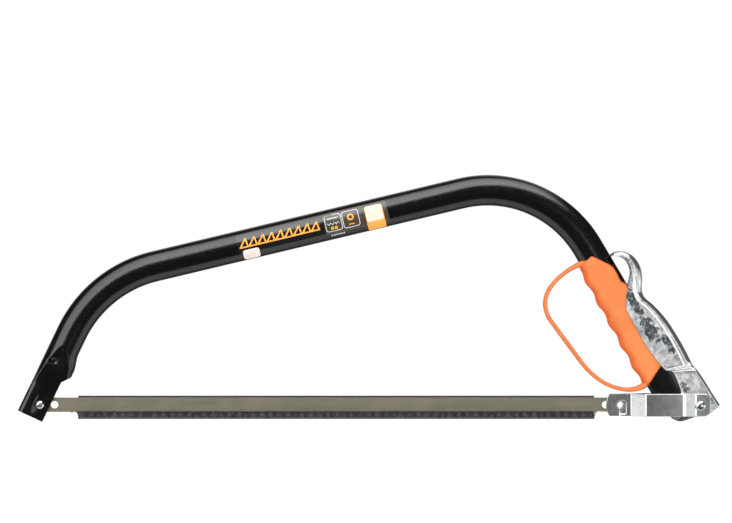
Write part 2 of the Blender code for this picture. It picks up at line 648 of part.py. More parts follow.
def lever_stations():
    """(outer x, outer z, front x, front z, half-width, share of the bead) from the thumb curl to the tail."""
    wide, slim = HOOD_OUTER, EAR_OUTER
    halfway = (wide + slim) / 2 + 0.6
    upper = [(256.4, 150.4, 256.9, 148.4, 10.5, 0), (260.0, 152.6, 259.4, 148.6, 12.4, 0),
             (266.5, 153.2, 265.4, 148.0, wide, 0), (273.5, 150.6, 270.2, 145.4, wide, 0),
             (279.3, 145.4, 273.2, 140.4, wide, 0), (283.4, 137.5, 274.6, 134.3, wide, 0.1),
             (284.7, 128.0, 273.6, 127.5, wide, 0.35), (284.3, 118.0, 270.7, 117.0, wide, 0.7),
             (287.0, 110.8, 269.5, 107.8, wide, 1), (295.0, 103.8, 270.4, 99.4, wide, 1),
             (307.0, 90.4, 277.2, 86.4, wide, 1), (319.8, 70.3, 289.4, 65.0, wide, 1),
             (328.6, 53.4, 303.0, 47.6, wide, 0.9), (331.2, 48.8, 306.8, 44.8, halfway, 0.6),
             (336.0, 43.4, 312.8, 42.6, slim, 0.3), (342.6, 33.7, 318.4, 31.0, slim, 0)]
    ear = [(*outer, *polar(LEVER_PIVOT, EAR_R, angle), slim, 0) for outer, angle in
           (((348.1, 24.6), 92), ((350.2, 21.4), 130), ((351.8, 19.0), 165), ((353.0, 17.1), 200),
            ((354.0, 15.6), 235), ((354.7, 14.5), 270))]
    tail = [(355.1, 13.8, 332.6, 2.0, slim, 0), (355.4, 13.3, 345.5, 5.0, slim, 0),
            (355.6, 12.9, 351.0, 8.6, slim, 0)]
    return upper + ear + tail


def lever_section(outer, front, half, bead):
    """A closed U: the outside from flange to flange over the web, then the inside back again."""
    depth = (front - outer).length
    inwards = (front - outer) / depth
    widening = ease((half - EAR_OUTER) / (HOOD_OUTER - EAR_OUTER))
    fold = EAR_FOLD + (CURL_FOLD + (HOOD_FOLD - CURL_FOLD) * ease(bead) - EAR_FOLD) * widening
    fold = min(fold, depth * 0.7)
    rise = BEAD_RISE * bead * (0.35 + 0.65 * widening)

    def skin(inset):
        radius = max(fold - inset, 0.3)
        centre, top = inset + radius, half + rise - inset
        crest = centre + min(BEAD_FLAT, (depth - centre) * 0.15)
        foot = centre + min(BEAD_FLAT + BEAD_WIDE, (depth - centre) * 0.85)
        shares = steps_between(0, 1, BEAD_STEPS)
        flank = [(foot + (crest - foot) * share, ease(1 - share)) for share in shares]
        flange = [(depth, rise - top)] + [(d, rise * share - top) for d, share in flank]
        flange += [polar((centre, radius - top), radius, a) for a in steps_between(270, 180, FOLD_STEPS)]
        return flange + [(d, -y) for d, y in reversed(flange)]

    return [(outer + inwards * d, y) for d, y in skin(0) + skin(SHEET)[::-1]]


def make_lever(lever):
    """A pressed channel: a hood for the palm with a curled end, and two ears at the pivot."""
    stations = flow_stations(lever_stations(), 4)
    bm = bmesh.new()
    rings = []
    for ox, oz, fx, fz, half, bead in stations:
        section = lever_section(Vector((ox, oz)), Vector((fx, fz)), half, bead)
        rings.append([bm.verts.new((p.x, y, p.y)) for p, y in section])
    count = len(rings[0])
    for a, b in zip(rings, rings[1:]):
        for i in range(count):
            j = (i + 1) % count
            bm.faces.new((a[i], a[j], b[j], b[i]))
    for ring in (rings[0], rings[-1]):
        for i in range(count // 2 - 1):
            bm.faces.new((ring[i], ring[i + 1], ring[count - 2 - i], ring[count - 1 - i]))
    body = finish(bm, "tension_lever", lever, ZINC_PLATE)
    boolean(body, finish(rod(LEVER_PIVOT, PIVOT_R + GAP, 30), "pivot_hole", lever))
    boolean(body, finish(rod(LINK_RIVET, RIVET_R + RIVET_PLAY, 30), "rivet_play", lever))


def flow_stations(stations, per_span):
    """Catmull-Rom through the stations' two points, with the other values eased from one to the next."""
    ends = [stations[0]] + stations + [stations[-1]]
    made = []
    for i in range(len(stations) - 1):
        a, b, c, d = ends[i:i + 4]
        for k in range(per_span):
            t = k / per_span
            places = [0.5 * (2 * q + (r - p) * t + (2 * p - 5 * q + 4 * r - s) * t * t
                             + (3 * q - p - 3 * r + s) * t ** 3)
                      for p, q, r, s in zip(a[:4], b[:4], c[:4], d[:4])]
            made.append((*places, *(b[j] + (c[j] - b[j]) * ease(t) for j in (4, 5))))
    return made + [stations[-1]]


def make_pivot(frame, lever):
    """The pin is riveted over the lever's ears and turns with them in a bush in the tube."""
    seat = EAR_OUTER + GAP
    near = dome(PIVOT_HEAD_R, PIVOT_DOME, -seat - 0.4) + [(PIVOT_HEAD_R, -seat), (PIVOT_R, -seat)]
    far = [(radius, -y) for radius, y in reversed(near)]
    finish(turned(LEVER_PIVOT, near + far), "lever_pivot_pin", lever, BRIGHT_STEEL)
    end = EAR_OUTER - SHEET - GAP
    bush = tube_of(LEVER_PIVOT, BUSH_R, PIVOT_R + GAP, -end, end)
    finish(bush, "lever_pivot_bush", frame, BRIGHT_STEEL)


def build():
    for old in list(bpy.data.objects):
        bpy.data.objects.remove(old)

    frame = axis_empty("frame", (0, 0, 0))
    front = axis_empty("blade_swing_axis", (-PIN_SPACING / 2, 0, PIN_Z), frame)
    slide = axis_empty("guard_slide_axis", (0, 0, 0), front)
    link = axis_empty("link_swing_axis", (PIN_SPACING / 2, 0, PIN_Z), front)
    lever = axis_empty("lever_open_axis", (LEVER_PIVOT[0], 0, LEVER_PIVOT[1]), frame)

    make_frame_tube(frame)
    make_front_pin(frame)
    make_grip(frame)
    make_label(frame, "frame_label", LABEL_FILM, FRAME_LABEL, LABEL_LIFT)
    make_label(frame, "small_sticker", WHITE_PAPER, SMALL_STICKER, STICKER_LIFT)
    make_label(frame, "rear_sticker", ORANGE_PAPER, REAR_STICKER, STICKER_LIFT)
    make_blade(front)
    make_guard(slide)
    make_link_plate("link_plate_near", -1, link)
    make_link_plate("link_plate_far", 1, link)
    make_hook_pin(link)
    make_link_rivet(link)
    make_pivot(frame, lever)
    make_lever(lever)


build()
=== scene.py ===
"""Looks for the bow saw: finer meshes, materials, light and a camera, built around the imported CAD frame."""

import json
import math

import bmesh
import bpy
from mathutils import Matrix, Vector

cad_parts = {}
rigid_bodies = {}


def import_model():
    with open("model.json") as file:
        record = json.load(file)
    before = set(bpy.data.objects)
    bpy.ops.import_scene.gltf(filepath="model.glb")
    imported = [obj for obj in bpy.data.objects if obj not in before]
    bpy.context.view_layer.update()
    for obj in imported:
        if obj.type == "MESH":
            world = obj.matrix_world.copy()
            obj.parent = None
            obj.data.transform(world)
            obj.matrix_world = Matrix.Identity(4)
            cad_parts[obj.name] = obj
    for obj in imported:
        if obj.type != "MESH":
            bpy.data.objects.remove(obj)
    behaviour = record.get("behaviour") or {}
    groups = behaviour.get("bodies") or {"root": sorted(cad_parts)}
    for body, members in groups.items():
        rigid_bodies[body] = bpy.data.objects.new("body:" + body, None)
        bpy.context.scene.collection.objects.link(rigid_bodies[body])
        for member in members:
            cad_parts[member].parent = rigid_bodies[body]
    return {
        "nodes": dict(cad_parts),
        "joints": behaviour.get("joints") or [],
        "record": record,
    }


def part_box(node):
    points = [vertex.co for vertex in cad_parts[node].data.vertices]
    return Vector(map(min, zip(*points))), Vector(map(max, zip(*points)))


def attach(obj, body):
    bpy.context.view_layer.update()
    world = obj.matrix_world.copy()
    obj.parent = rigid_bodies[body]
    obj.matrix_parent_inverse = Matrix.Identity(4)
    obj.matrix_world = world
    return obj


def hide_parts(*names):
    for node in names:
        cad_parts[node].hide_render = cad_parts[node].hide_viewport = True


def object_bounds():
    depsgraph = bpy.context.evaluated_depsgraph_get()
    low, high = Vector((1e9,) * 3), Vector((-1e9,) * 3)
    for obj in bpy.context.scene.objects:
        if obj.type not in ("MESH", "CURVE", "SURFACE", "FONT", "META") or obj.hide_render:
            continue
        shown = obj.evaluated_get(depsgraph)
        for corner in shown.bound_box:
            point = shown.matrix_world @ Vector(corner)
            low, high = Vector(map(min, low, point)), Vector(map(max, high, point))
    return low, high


for old in list(bpy.data.objects):
    bpy.data.objects.remove(old)

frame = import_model()
cad_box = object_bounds()

MM = 0.001
SMOOTH = 35.0  # faces that meet at less than this many degrees are shaded as one surface
FAR = 40.0  # cutters reach this far to each side
BODY_OF = {node: body for body, nodes in frame["record"]["behaviour"]["bodies"].items() for node in nodes}
JOINT = {joint["name"]: Vector(joint["pos_m"]) / MM for joint in frame["joints"] if "pos_m" in joint}
FRONT_PIN, LEVER_PIVOT, HOOK_PIN = ((JOINT[name].x, JOINT[name].z)
                                    for name in ("blade_swing", "lever_open", "link_swing"))
RIVET_LOW, RIVET_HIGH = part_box("link_rivet")
LINK_RIVET = ((RIVET_LOW.x + RIVET_HIGH.x) / 2 / MM, (RIVET_LOW.z + RIVET_HIGH.z) / 2 / MM)

# The bow, in millimetres, with the CAD part's driving dimensions
FRONT_CORNER, REAR_CORNER = (-213.0, 127.0), (195.4, 224.2)
FRONT_RADIUS, REAR_RADIUS = 113.0, 106.0
FRONT_LEG_ANGLE, REAR_LEG_ANGLE = 64.5, 59.35
FRONT_LEG = 138.5
TUBE_WIDE, TUBE_DEEP, TUBE_WALL = 28.0, 18.0, 1.2
FRONT_WIDE, FRONT_DEEP, FRONT_PRESS = 31.0, 12.0, (70.0, 54.0)
REAR_WIDE, REAR_DEEP, REAR_PRESS = 32.0, 13.5, (90.0, 62.0)
REAR_END_R = 10.2
SLOT_LIP, SLOT_HALF = 10.5, 2.7
NOTCH_FROM, NOTCH_SLOPE, NOTCH_REACH = 39.5, 51.7, 24.0
CHEEK_ACROSS, CHEEK_ALONG = (-9.5, 1.0), (54.0, 20.0)
SEAT_ALONG, SEAT_ACROSS = (7.8, 18.6), (-4.6, -2.2)
DIE_TOP, DIE_CURVE, DIE_CROWN, DIE_INNER_DROP, DIE_INNER_SPAN, DIE_STEP = 71.0, 0.24, -1.0, 17.0, 16.0, 16.0
GROOVE_DEEP, GROOVE_PLACE, GROOVE_SLOPE, GROOVE_HALF, GROOVE_FROM = 0.6, 56.9, 0.48, 4.0, -10.5
CREASE_HIGH, CREASE_ACROSS, CREASE_ALONG = 0.5, (0.4, 2.2), (17.5, 31.0)
PIN_CLEARANCE_R, BUSH_HOLE_R = 3.3, 4.9
AROUND = 88
GAP = 0.3

# The grip
GRIP_HALF = 11.2
FINGER_PITCH, FINGER_WAVE, FIRST_CREST = 22.0, 1.0, 12.8
FINGER_ROUND, DIP_ROUND, EDGE_ROUND = 9.0, 1.6, 2.6
KNUCKLE_HALF_THICK, KNUCKLE_HALF = 1.85, 7.0

# The tensioning lever
SHEET = 1.4
EAR_OUTER, HOOD_OUTER, EAR_R = 8.55, 13.0, 12.4
CURL_FOLD, HOOD_FOLD, EAR_FOLD = 6.0, 5.4, 3.0
BEAD_RISE, BEAD_CREST, BEAD_FOOT = 1.6, 5.7, 8.7
PIVOT_HOLE_R, RIVET_HOLE_R = 3.8, 4.4
FLANGE_POINTS = 27
PATCH_LEAN = 0.55  # how far each dark patch leans over as it rises
# Painted dark reflections on the lever: patches of darker colour where the smooth zinc mirrors the dark room
LEVER_PAINTED_REFLECTIONS = ((275.6, 108.5, 5.4, 12.5), (291.5, 81.5, 6.8, 11.5), (309.0, 67.5, 4.6, 9.5),
                 (320.0, 0.0, 15.0, 3.6), (322.5, 30.0, 3.4, 5.0))

# The link plates and their rivet
PLATE_THICK = 1.5
LINK_TOP, LINK_BOTTOM, LINK_FRONT, LINK_REAR, NOSE_R = 23.2, 2.7, 252.1, 346.8, 17.4
LINK_BENDS = (275.4, 288.2, 322.6, 333.2)
LINK_AT_BLADE, LINK_AT_MIDDLE, LINK_AT_RIVET = 0.7, 12.4, 8.9
LINK_BEND_R = (0, 1.6, 1.6, 11.5, 5.7, 0)  # on the inside of each bend, front to rear
LINK_CORNER_R, PLATE_EDGE = 6.0, 0.45
HOOK_HOLE_R, HOOK_SLIT, HOOK_POCKET = 3.5, 1.2, (5.6, 4.0, -8.5, 1.1)
RIVET_R, RIVET_HEAD_R, RIVET_RIM, RIVET_DOME = 2.5, 4.6, 0.4, 1.8

# The labels, with distances along the top tube from the front corner
TOP_TILT = 13.4
SHEET_THICK, INK_THICK = 0.15, 0.06
FILM_LIFT, FILM_TOP = 0.15, 0.32
STICKER_LIFT, STICKER_TOP = 0.45, 0.62
HAZE_FROM, HAZE_HALF = 213.5, 0.5

# Camera and studio, in metres
VIEW_AIM = Vector((0.0328, 0.0, 0.1439))
VIEW_WIDTH, VIEW_DISTANCE, SENSOR = 0.669, 3.3, 36.0
FLOOR_HALF, FLOOR_GLOW = 6.0, 0.8
FLOOR_DROP = 0.11  # below the saw at rest, so that the opened blade stays above the floor
SOFTBOX, STRIP_LIGHT, SIDE_LIGHT, PAPER_BELOW, AMBIENT = 5.8, 2.4, 0.7, 1.25, 0.115
BEHIND, BEHIND_DIFFUSE = 0.20, 0.65  # the share of the light that comes from behind the saw


# Shapes in the X-Z plane

def polar(centre, radius, degrees):
    a = math.radians(degrees)
    return centre[0] + radius * math.cos(a), centre[1] + radius * math.sin(a)


def arc(centre, radius, start, end, steps):
    return [polar(centre, radius, start + (end - start) * i / steps) for i in range(steps + 1)]


def steps_between(start, stop, count):
    return [start + (stop - start) * i / count for i in range(count + 1)]


def ease(value):
    value = min(max(value, 0), 1)
    return value * value * (3 - 2 * value)


def share_of(value, span):
    """How far the value is from one end of the span to the other, as 0 to 1."""
    return (value - span[0]) / (span[1] - span[0])


def falling(value, span):
    """1 at the far end of a (from, to) span and beyond, 0 before it, eased between."""
    return ease(share_of(value, span))


def between(a, b, c, d, t):
    """The Catmull-Rom curve from b to c at t, for numbers or vectors."""
    square, cube = 2 * a - 5 * b + 4 * c - d, 3 * b - a - 3 * c + d
    return 0.5 * (2 * b + (c - a) * t + square * t * t + cube * t ** 3)


def flow(points, per_span):
    """A smooth curve through the points."""
    ends = [points[0]] + list(points) + [points[-1]]
    curve = []
    for i in range(len(points) - 1):
        a, b, c, d = (Vector(p) for p in ends[i:i + 4])
        curve += [between(a, b, c, d, k / per_span) for k in range(per_span)]
    return curve + [Vector(points[-1])]


FRONT_UP = Vector(polar((0, 0), 1, FRONT_LEG_ANGLE))
FRONT_END = Vector(FRONT_CORNER) - FRONT_UP * FRONT_LEG
TOP_ALONG = (Vector(REAR_CORNER) - Vector(FRONT_CORNER)).normalized()
REAR_DOWN = Vector(polar((0, 0), 1, -REAR_LEG_ANGLE))


def inwards_of(direction):
    """Towards the inside of the bow, for a direction along the tube from the front end to the rear."""
    return Vector((direction.y, -direction.x))


# Meshes and pieces

def placed(name, data):
    made = bpy.data.objects.new(name, data)
    bpy.context.scene.collection.objects.link(made)
    return made


def mesh_object(bm, name, smooth=SMOOTH):
    """An object from a bmesh drawn in millimetres, with its faces turned outwards."""
    bmesh.ops.scale(bm, verts=bm.verts, vec=(MM, MM, MM))
    bmesh.ops.recalc_face_normals(bm, faces=bm.faces)
    if bm.calc_volume(signed=True) < 0:
        bmesh.ops.reverse_faces(bm, faces=bm.faces)
    mesh = bpy.data.meshes.new(name)
    bm.to_mesh(mesh)
    bm.free()
    mesh.shade_smooth()
    mesh.set_sharp_from_angle(angle=math.radians(smooth))
    return placed(name, mesh)


def carried(shapes, offset):
    """Flat shapes of (x, y, z) points, each carried along the offset into a solid."""
    bm = bmesh.new()
    for shape in shapes:
        face = bm.faces.new([bm.verts.new(point) for point in shape])
        made = bmesh.ops.extrude_face_region(bm, geom=[face])["geom"]
        moved = [v for v in made if isinstance(v, bmesh.types.BMVert)]
        bmesh.ops.translate(bm, verts=moved, vec=offset)
    return bm


def prism(outline, near=-FAR, far=FAR):
    """The outline of (x, z) points carried through Y from near to far."""
    return carried([[(x, near, z) for x, z in outline]], (0, far - near, 0))


def circle(centre, radius, steps=64):
    return arc(centre, radius, 0, 360, steps)[:-1]


def rod(centre, radius):
    return prism(circle(centre, radius))


def loft(rings, closed_ends=True):
    """Rings of (x, y, z) points joined in order."""
    bm = bmesh.new()
    loops = [[bm.verts.new(p) for p in ring] for ring in rings]
    count = len(loops[0])
    for a, b in zip(loops, loops[1:]):
        for i in range(count):
            j = (i + 1) % count
            bm.faces.new((a[i], a[j], b[j], b[i]))
    if closed_ends:
        bm.faces.new(loops[0])
        bm.faces.new(loops[-1])
    return bm


def boolean(target, bm, operation="DIFFERENCE"):
    """Cuts or joins at once, and removes the cutter."""
    other = mesh_object(bm, "cutter")
    step = target.modifiers.new(operation.title(), "BOOLEAN")
    step.operation = operation
    step.object = other
    step.solver = "EXACT"
    apply_modifiers(target)
    bpy.data.objects.remove(other)


def apply_modifiers(target):
    graph = bpy.context.evaluated_depsgraph_get()
    made = bpy.data.meshes.new_from_object(target.evaluated_get(graph))
    target.modifiers.clear()
    target.data = made
    made.shade_smooth()
    made.set_sharp_from_angle(angle=math.radians(SMOOTH))


def joined_flats(mesh):
    """A bmesh of the mesh with its coincident corners merged and the flat faces between them joined."""
    bm = bmesh.new()
    bm.from_mesh(mesh)
    bmesh.ops.remove_doubles(bm, verts=bm.verts, dist=1e-6)
    bmesh.ops.dissolve_limit(bm, angle_limit=math.radians(0.2), verts=bm.verts, edges=bm.edges)
    return bm


def bevel(target, width, segments=2, clamped=True):
    step = target.modifiers.new("Edge rounding", "BEVEL")
    step.use_clamp_overlap = clamped
    step.width = width * MM
    step.segments = segments
    step.limit_method = "ANGLE"
    step.angle_limit = math.radians(SMOOTH)
    step.harden_normals = True


def finished(piece, surface, node):
    """Gives the piece its material and puts it in the CAD node's place, on the node's body."""
    piece.data.materials.clear()
    piece.data.materials.append(surface)
    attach(piece, BODY_OF[node])
    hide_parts(node)


def refined(node, surface, rounding):
    """A clean copy of a CAD node: corners merged, flat faces joined, edges rounded, curves smooth."""
    bm = joined_flats(frame["nodes"][node].data)
    bmesh.ops.scale(bm, verts=bm.verts, vec=(1 / MM, 1 / MM, 1 / MM))
    piece = mesh_object(bm, node + "_fine")
    bevel(piece, rounding)
    finished(piece, surface, node)


# Node materials

class Nodes:
    """A node tree under construction: adds nodes, links inputs given as sockets and sets the others."""

    def __init__(self, tree):
        self.tree = tree

    def add(self, kind, inputs=None, **settings):
        node = self.tree.nodes.new("ShaderNode" + kind)
        for key, value in settings.items():
            setattr(node, key, value)
        for key, value in (inputs or {}).items():
            self.set(node, key, value)
        return node

    def set(self, node, key, value):
        if isinstance(value, bpy.types.NodeSocket):
            self.tree.links.new(value, node.inputs[key])
        else:
            node.inputs[key].default_value = value

    def ramp(self, value, low, high, start=0.0, stop=1.0):
        """Maps low..high to start..stop, eased."""
        inputs = {"Value": value, "From Min": low, "From Max": high, "To Min": start, "To Max": stop}
        return self.add("MapRange", inputs, interpolation_type="SMOOTHSTEP").outputs[0]

    def maths(self, operation, a, b=0.0):
        return self.add("Math", {0: a, 1: b}, operation=operation).outputs[0]

    def times(self, a, b):
        return self.maths("MULTIPLY", a, b)

    def plus(self, a, b):
        return self.maths("ADD", a, b)

    def minus(self, a, b):
        return self.maths("SUBTRACT", a, b)

    def split(self, vector):
        return self.add("SeparateXYZ", {0: vector}).outputs


class Look(Nodes):
    """A material under construction, with places measured in millimetres on the saw at rest."""

    def __init__(self, name):
        self.material = bpy.data.materials.new(name)
        self.material.use_nodes = True
        super().__init__(self.material.node_tree)
        self.shader = self.tree.nodes["Principled BSDF"]
        self.output = self.tree.nodes["Material Output"]
        place = self.add("TexCoord").outputs["Object"]
        self.place = self.add("VectorMath", {0: place, 1: (1 / MM,) * 3}, operation="MULTIPLY").outputs[0]

    def stretched(self, scale, turn=0.0):
        """Coordinates scaled along X, Y and Z, after a turn about Y in degrees."""
        mapping = self.add("Mapping", {"Vector": self.place, "Rotation": (0, math.radians(turn), 0)})
        return self.add("VectorMath", {0: mapping.outputs[0], 1: scale}, operation="MULTIPLY").outputs[0]

    def noise(self, size, detail=3.0, rough=0.5, vector=None, warp=0.0):
        """Noise whose features are about size millimetres wide."""
        inputs = {"Vector": vector or self.place, "Scale": 1 / size, "Detail": detail,
                  "Roughness": rough, "Distortion": warp}
        return self.add("TexNoise", inputs).outputs["Fac"]

    def mix(self, share, a, b):
        """Mixes two colours."""
        node = self.add("Mix", {"Factor": share, "A": padded(a), "B": padded(b)}, data_type="RGBA")
        return node.outputs["Result"]

    def facing(self):
        """The object's own X, Y and Z parts of the surface's direction."""
        return self.split(self.add("TexCoord").outputs["Normal"])

    def bump(self, *layers):
        """Stacks (height, strength, distance in millimetres) layers."""
        normal = None
        for height, strength, distance in layers:
            inputs = {"Height": height, "Strength": strength, "Distance": distance * MM}
            if normal:
                inputs["Normal"] = normal
            normal = self.add("Bump", inputs).outputs[0]
        return normal

    def edges(self, radius):
        """1 near sharp edges, 0 on open faces."""
        soft = self.add("Bevel", {"Radius": radius * MM}, samples=4).outputs[0]
        hard = self.add("NewGeometry").outputs["Normal"]
        alike = self.add("VectorMath", {0: soft, 1: hard}, operation="DOT_PRODUCT").outputs["Value"]
        return self.ramp(alike, 0.995, 0.9)

    def done(self, **inputs):
        for key, value in inputs.items():
            key = key.replace("_", " ").title().replace("Ior", "IOR")
            value = padded(value) if key == "Base Color" else value
            self.set(self.shader, key, value)
        return self.material

    def seen_as(self, surface):
        """Puts another shader in the place of the plain one."""
        self.tree.links.new(surface, self.output.inputs["Surface"])
        return self.material


def padded(colour):
    return colour if isinstance(colour, bpy.types.NodeSocket) else (*colour[:3], 1.0)


def black_paint():
    """Glossy enamel: faint orange peel, fine dust, and bare steel where the cut edges have worn."""
    look = Look("black gloss enamel")
    mottled = look.noise(9.0, 4.0)
    scuffs = look.noise(2.2, 6.0, 0.7, look.stretched((0.25, 1.0, 1.0), -TOP_TILT))
    worn = look.times(look.edges(0.5), look.ramp(look.noise(1.6, 5.0), 0.45, 0.62))
    enamel = look.mix(mottled, (0.0006, 0.0006, 0.0007), (0.0015, 0.0014, 0.0015))
    dust = look.ramp(look.noise(0.8, 2.0), 0.72, 0.80)
    enamel = look.mix(look.times(dust, 0.15), enamel, (0.03, 0.03, 0.03))
    roughness = look.ramp(scuffs, 0.35, 0.75, 0.14, 0.24)
    normal = look.bump((look.noise(2.4, 2.0), 0.06, 0.5), (look.noise(0.35, 2.0), 0.02, 0.1))
    return look.done(base_color=look.mix(worn, enamel, (0.16, 0.155, 0.15)), roughness=roughness,
                     metallic=look.times(worn, 0.9), normal=normal)


def zinc_plate(name, patches, clouding, rough, fold_polish_and_painted_light, contrast):
    """Zinc-plated sheet. Smooth areas mirror the dark room and the rougher spangle looks pale. Each patch
    is (x, z, half-width, half-height) of a smooth area painted darker, a painted dark reflection. Rough is
    the roughness of the dark, the middling and the pale areas. The fold setting is how far the folds are
    rubbed smooth and painted pale, a painted highlight, and how far faces turned upwards are painted dark, a
    painted shade. Contrast is how much the spangle shows."""
    look = Look(name)
    spangle = look.add("TexVoronoi", {"Vector": look.stretched((1.0, 0.5, 1.0)), "Scale": 1 / 3.2})
    grain = look.add("RGBToBW", {"Color": spangle.outputs["Color"]}).outputs[0]
    cloud = look.noise(15.0, 3.0, 0.55, warp=0.4)
    mottle = look.noise(3.4, 5.0, 0.65, warp=0.6)
    fine = look.noise(1.1, 3.0, 0.7)
    dark = look.ramp(cloud, 0.40, 0.56, clouding, 0.0)
    x, _, z = look.split(look.place)
    # Each patch paints a smooth area darker: a painted dark reflection.
    for centre_x, centre_z, half_x, half_z in patches:
        up = look.minus(z, centre_z)
        across = look.plus(look.minus(x, centre_x), look.times(up, PATCH_LEAN))
        dx, dz = look.maths("DIVIDE", across, half_x), look.maths("DIVIDE", up, half_z)
        far = look.plus(look.times(dx, dx), look.times(dz, dz))
        ragged = look.plus(far, look.ramp(mottle, 0.25, 0.75, -0.75, 0.75))
        ragged = look.plus(ragged, look.ramp(grain, 0.2, 0.8, -0.35, 0.35))
        dark = look.maths("MAXIMUM", dark, look.ramp(ragged, 0.35, 1.5, 1.0, 0.0))
    normals = look.facing()
    # The folds are rubbed smooth and painted pale: a painted highlight along them, which also clears the
    # painted dark patches there.
    fold = look.ramp(look.maths("ABSOLUTE", normals[1]), 0.985, 0.93, 0.0, fold_polish_and_painted_light)
    speckle = look.plus(look.times(grain, 0.30), look.times(mottle, 0.7))
    speckle = look.ramp(speckle, 0.34, 0.66, 0.5 - contrast / 2, 0.5 + contrast / 2)
    light = look.mix(speckle, (0.56, 0.58, 0.59), (0.84, 0.85, 0.84))
    shade = look.mix(look.ramp(fine, 0.35, 0.65), (0.26, 0.29, 0.34), (0.58, 0.62, 0.67))
    colour = look.mix(look.times(dark, look.minus(1.0, fold)), light, shade)
    colour = look.mix(fold, colour, (0.80, 0.81, 0.82))
    # Faces turned upwards are painted dark: painted shade.
    painted_top_shade = look.ramp(normals[2], 0.45, 0.75, 0.0, 0.7 * fold_polish_and_painted_light)
    colour = look.mix(painted_top_shade, colour, (0.10, 0.10, 0.11))
    # Sharp edges are painted pale: a painted highlight along the rims.
    colour = look.mix(look.times(look.edges(0.4), 0.5), colour, (0.80, 0.80, 0.79))
    pale = look.ramp(speckle, 0.0, 1.0, rough[1], rough[2])
    smooth = look.maths("MAXIMUM", look.times(dark, rough[1] - rough[0]),
                        look.times(fold, rough[2] - rough[0]))
    roughness = look.maths("MAXIMUM", look.minus(pale, smooth), rough[0])
    drawn = look.noise(0.5, 3.0, 0.6, look.stretched((1.0, 1.0, 0.12)))
    normal = look.bump((mottle, 0.05 * contrast, 0.4), (drawn, 0.03 * contrast, 0.1))
    return look.done(base_color=colour, roughness=roughness, metallic=1.0, normal=normal)


def bright_steel():
    """Turned, bright-plated steel with faint tool rings and tarnish."""
    look = Look("bright plated steel")
    tarnish = look.noise(1.8, 4.0, 0.6)
    colour = look.mix(look.ramp(tarnish, 0.4, 0.7), (0.56, 0.57, 0.58), (0.26, 0.26, 0.26))
    rings = look.noise(0.25, 2.0, 0.5, look.stretched((1.0, 4.0, 1.0)))
    return look.done(base_color=colour, roughness=look.ramp(tarnish, 0.3, 0.7, 0.10, 0.26), metallic=1.0,
                     normal=look.bump((rings, 0.06, 0.1)))


def blade_lacquer():
    """Olive lacquered spring steel: long rolling lines, rubbed edges and bare ground tooth tips."""
    look = Look("lacquered blade steel")
    _, _, z = look.split(look.place)
    rolled = look.noise(0.9, 4.0, 0.6, look.stretched((0.02, 1.0, 1.0)))
    cloud = look.noise(26.0, 4.0, 0.6)
    colour = look.mix(look.ramp(rolled, 0.35, 0.65), (0.108, 0.103, 0.067), (0.128, 0.122, 0.083))
    colour = look.mix(look.ramp(cloud, 0.4, 0.65, 0.0, 0.45), colour, (0.172, 0.152, 0.120))
    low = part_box("saw_blade")[0].z / MM
    ground = look.ramp(look.plus(z, look.ramp(rolled, 0.3, 0.7, -0.3, 0.3)), low + 4.6, low + 3.6)
    bare = look.maths("MAXIMUM", ground, look.times(look.edges(0.35), 0.35))
    colour = look.mix(bare, colour, (0.50, 0.50, 0.47))
    speck = look.ramp(look.noise(1.1, 3.0), 0.66, 0.74, 0.0, 0.5)
    colour = look.mix(speck, colour, (0.09, 0.07, 0.05))
    return look.done(base_color=colour, roughness=look.ramp(rolled, 0.3, 0.7, 0.38, 0.52),
                     metallic=look.ramp(bare, 0.0, 1.0, 0.35, 1.0), normal=look.bump((rolled, 0.05, 0.1)))


def smoked_plastic():
    """Smoked translucent strip: the teeth show through it faintly. Its thicker upper edge is darker."""
    look = Look("smoked plastic")
    cloud = look.noise(7.0, 4.0, 0.6)
    streaks = look.noise(1.2, 3.0, 0.5, look.stretched((0.05, 1.0, 1.0)))
    colour = look.mix(cloud, (0.020, 0.018, 0.021), (0.036, 0.032, 0.037))
    look.done(base_color=colour, roughness=look.ramp(streaks, 0.3, 0.7, 0.16, 0.30),
              normal=look.bump((streaks, 0.05, 0.2)))
    clear = look.add("BsdfTransparent", {"Color": (0.69, 0.665, 0.69, 1.0)}).outputs[0]
    _, _, z = look.split(look.place)
    share = look.times(look.ramp(cloud, 0.3, 0.7, 0.66, 0.76), look.ramp(z, 9.0, 12.0, 1.0, 0.34))
    share = look.times(share, look.ramp(z, 0.7, 1.5, 0.55, 1.0))
    mixed = look.add("MixShader", {0: share, 1: look.shader.outputs[0], 2: clear}).outputs[0]
    return look.seen_as(mixed)


def orange_plastic():
    """Satin moulded plastic: fine texture, flow marks, a deeper colour painted where the surface turns away
    from the flat sides as painted shade, grime in random patches, and painted shade where other pieces lie
    close."""
    look = Look("orange moulded plastic")
    flowing = look.noise(34.0, 3.0, 0.5, warp=0.8)
    fine = look.noise(0.45, 3.0, 0.6)
    face = look.mix(look.ramp(flowing, 0.35, 0.65), (0.545, 0.146, 0.033), (0.595, 0.170, 0.042))
    # Painted shade: a deeper orange where the surface turns away from the flat sides.
    turned = look.facing()[1]
    facing = look.ramp(look.maths("ABSOLUTE", turned), 0.45, 0.98)
    colour = look.mix(facing, (0.60, 0.100, 0.008), face)
    grime = look.ramp(look.noise(4.0, 6.0, 0.7), 0.64, 0.82, 0.0, 0.15)
    colour = look.mix(grime, colour, (0.42, 0.12, 0.03))
    # Painted shade where other pieces lie close, from ambient occlusion.
    painted_contact_shade = look.add("AmbientOcclusion", {"Distance": 4 * MM}, samples=16).outputs["AO"]
    colour = look.mix(look.ramp(painted_contact_shade, 0.25, 0.70), (0.22, 0.045, 0.004), colour)
    return look.done(base_color=colour, roughness=look.ramp(fine, 0.3, 0.7, 0.44, 0.58),
                     subsurface_weight=0.10, subsurface_scale=0.0015, specular_ior_level=0.35,
                     normal=look.bump((fine, 0.10, 0.12), (look.noise(3.0, 2.0), 0.03, 0.3)))


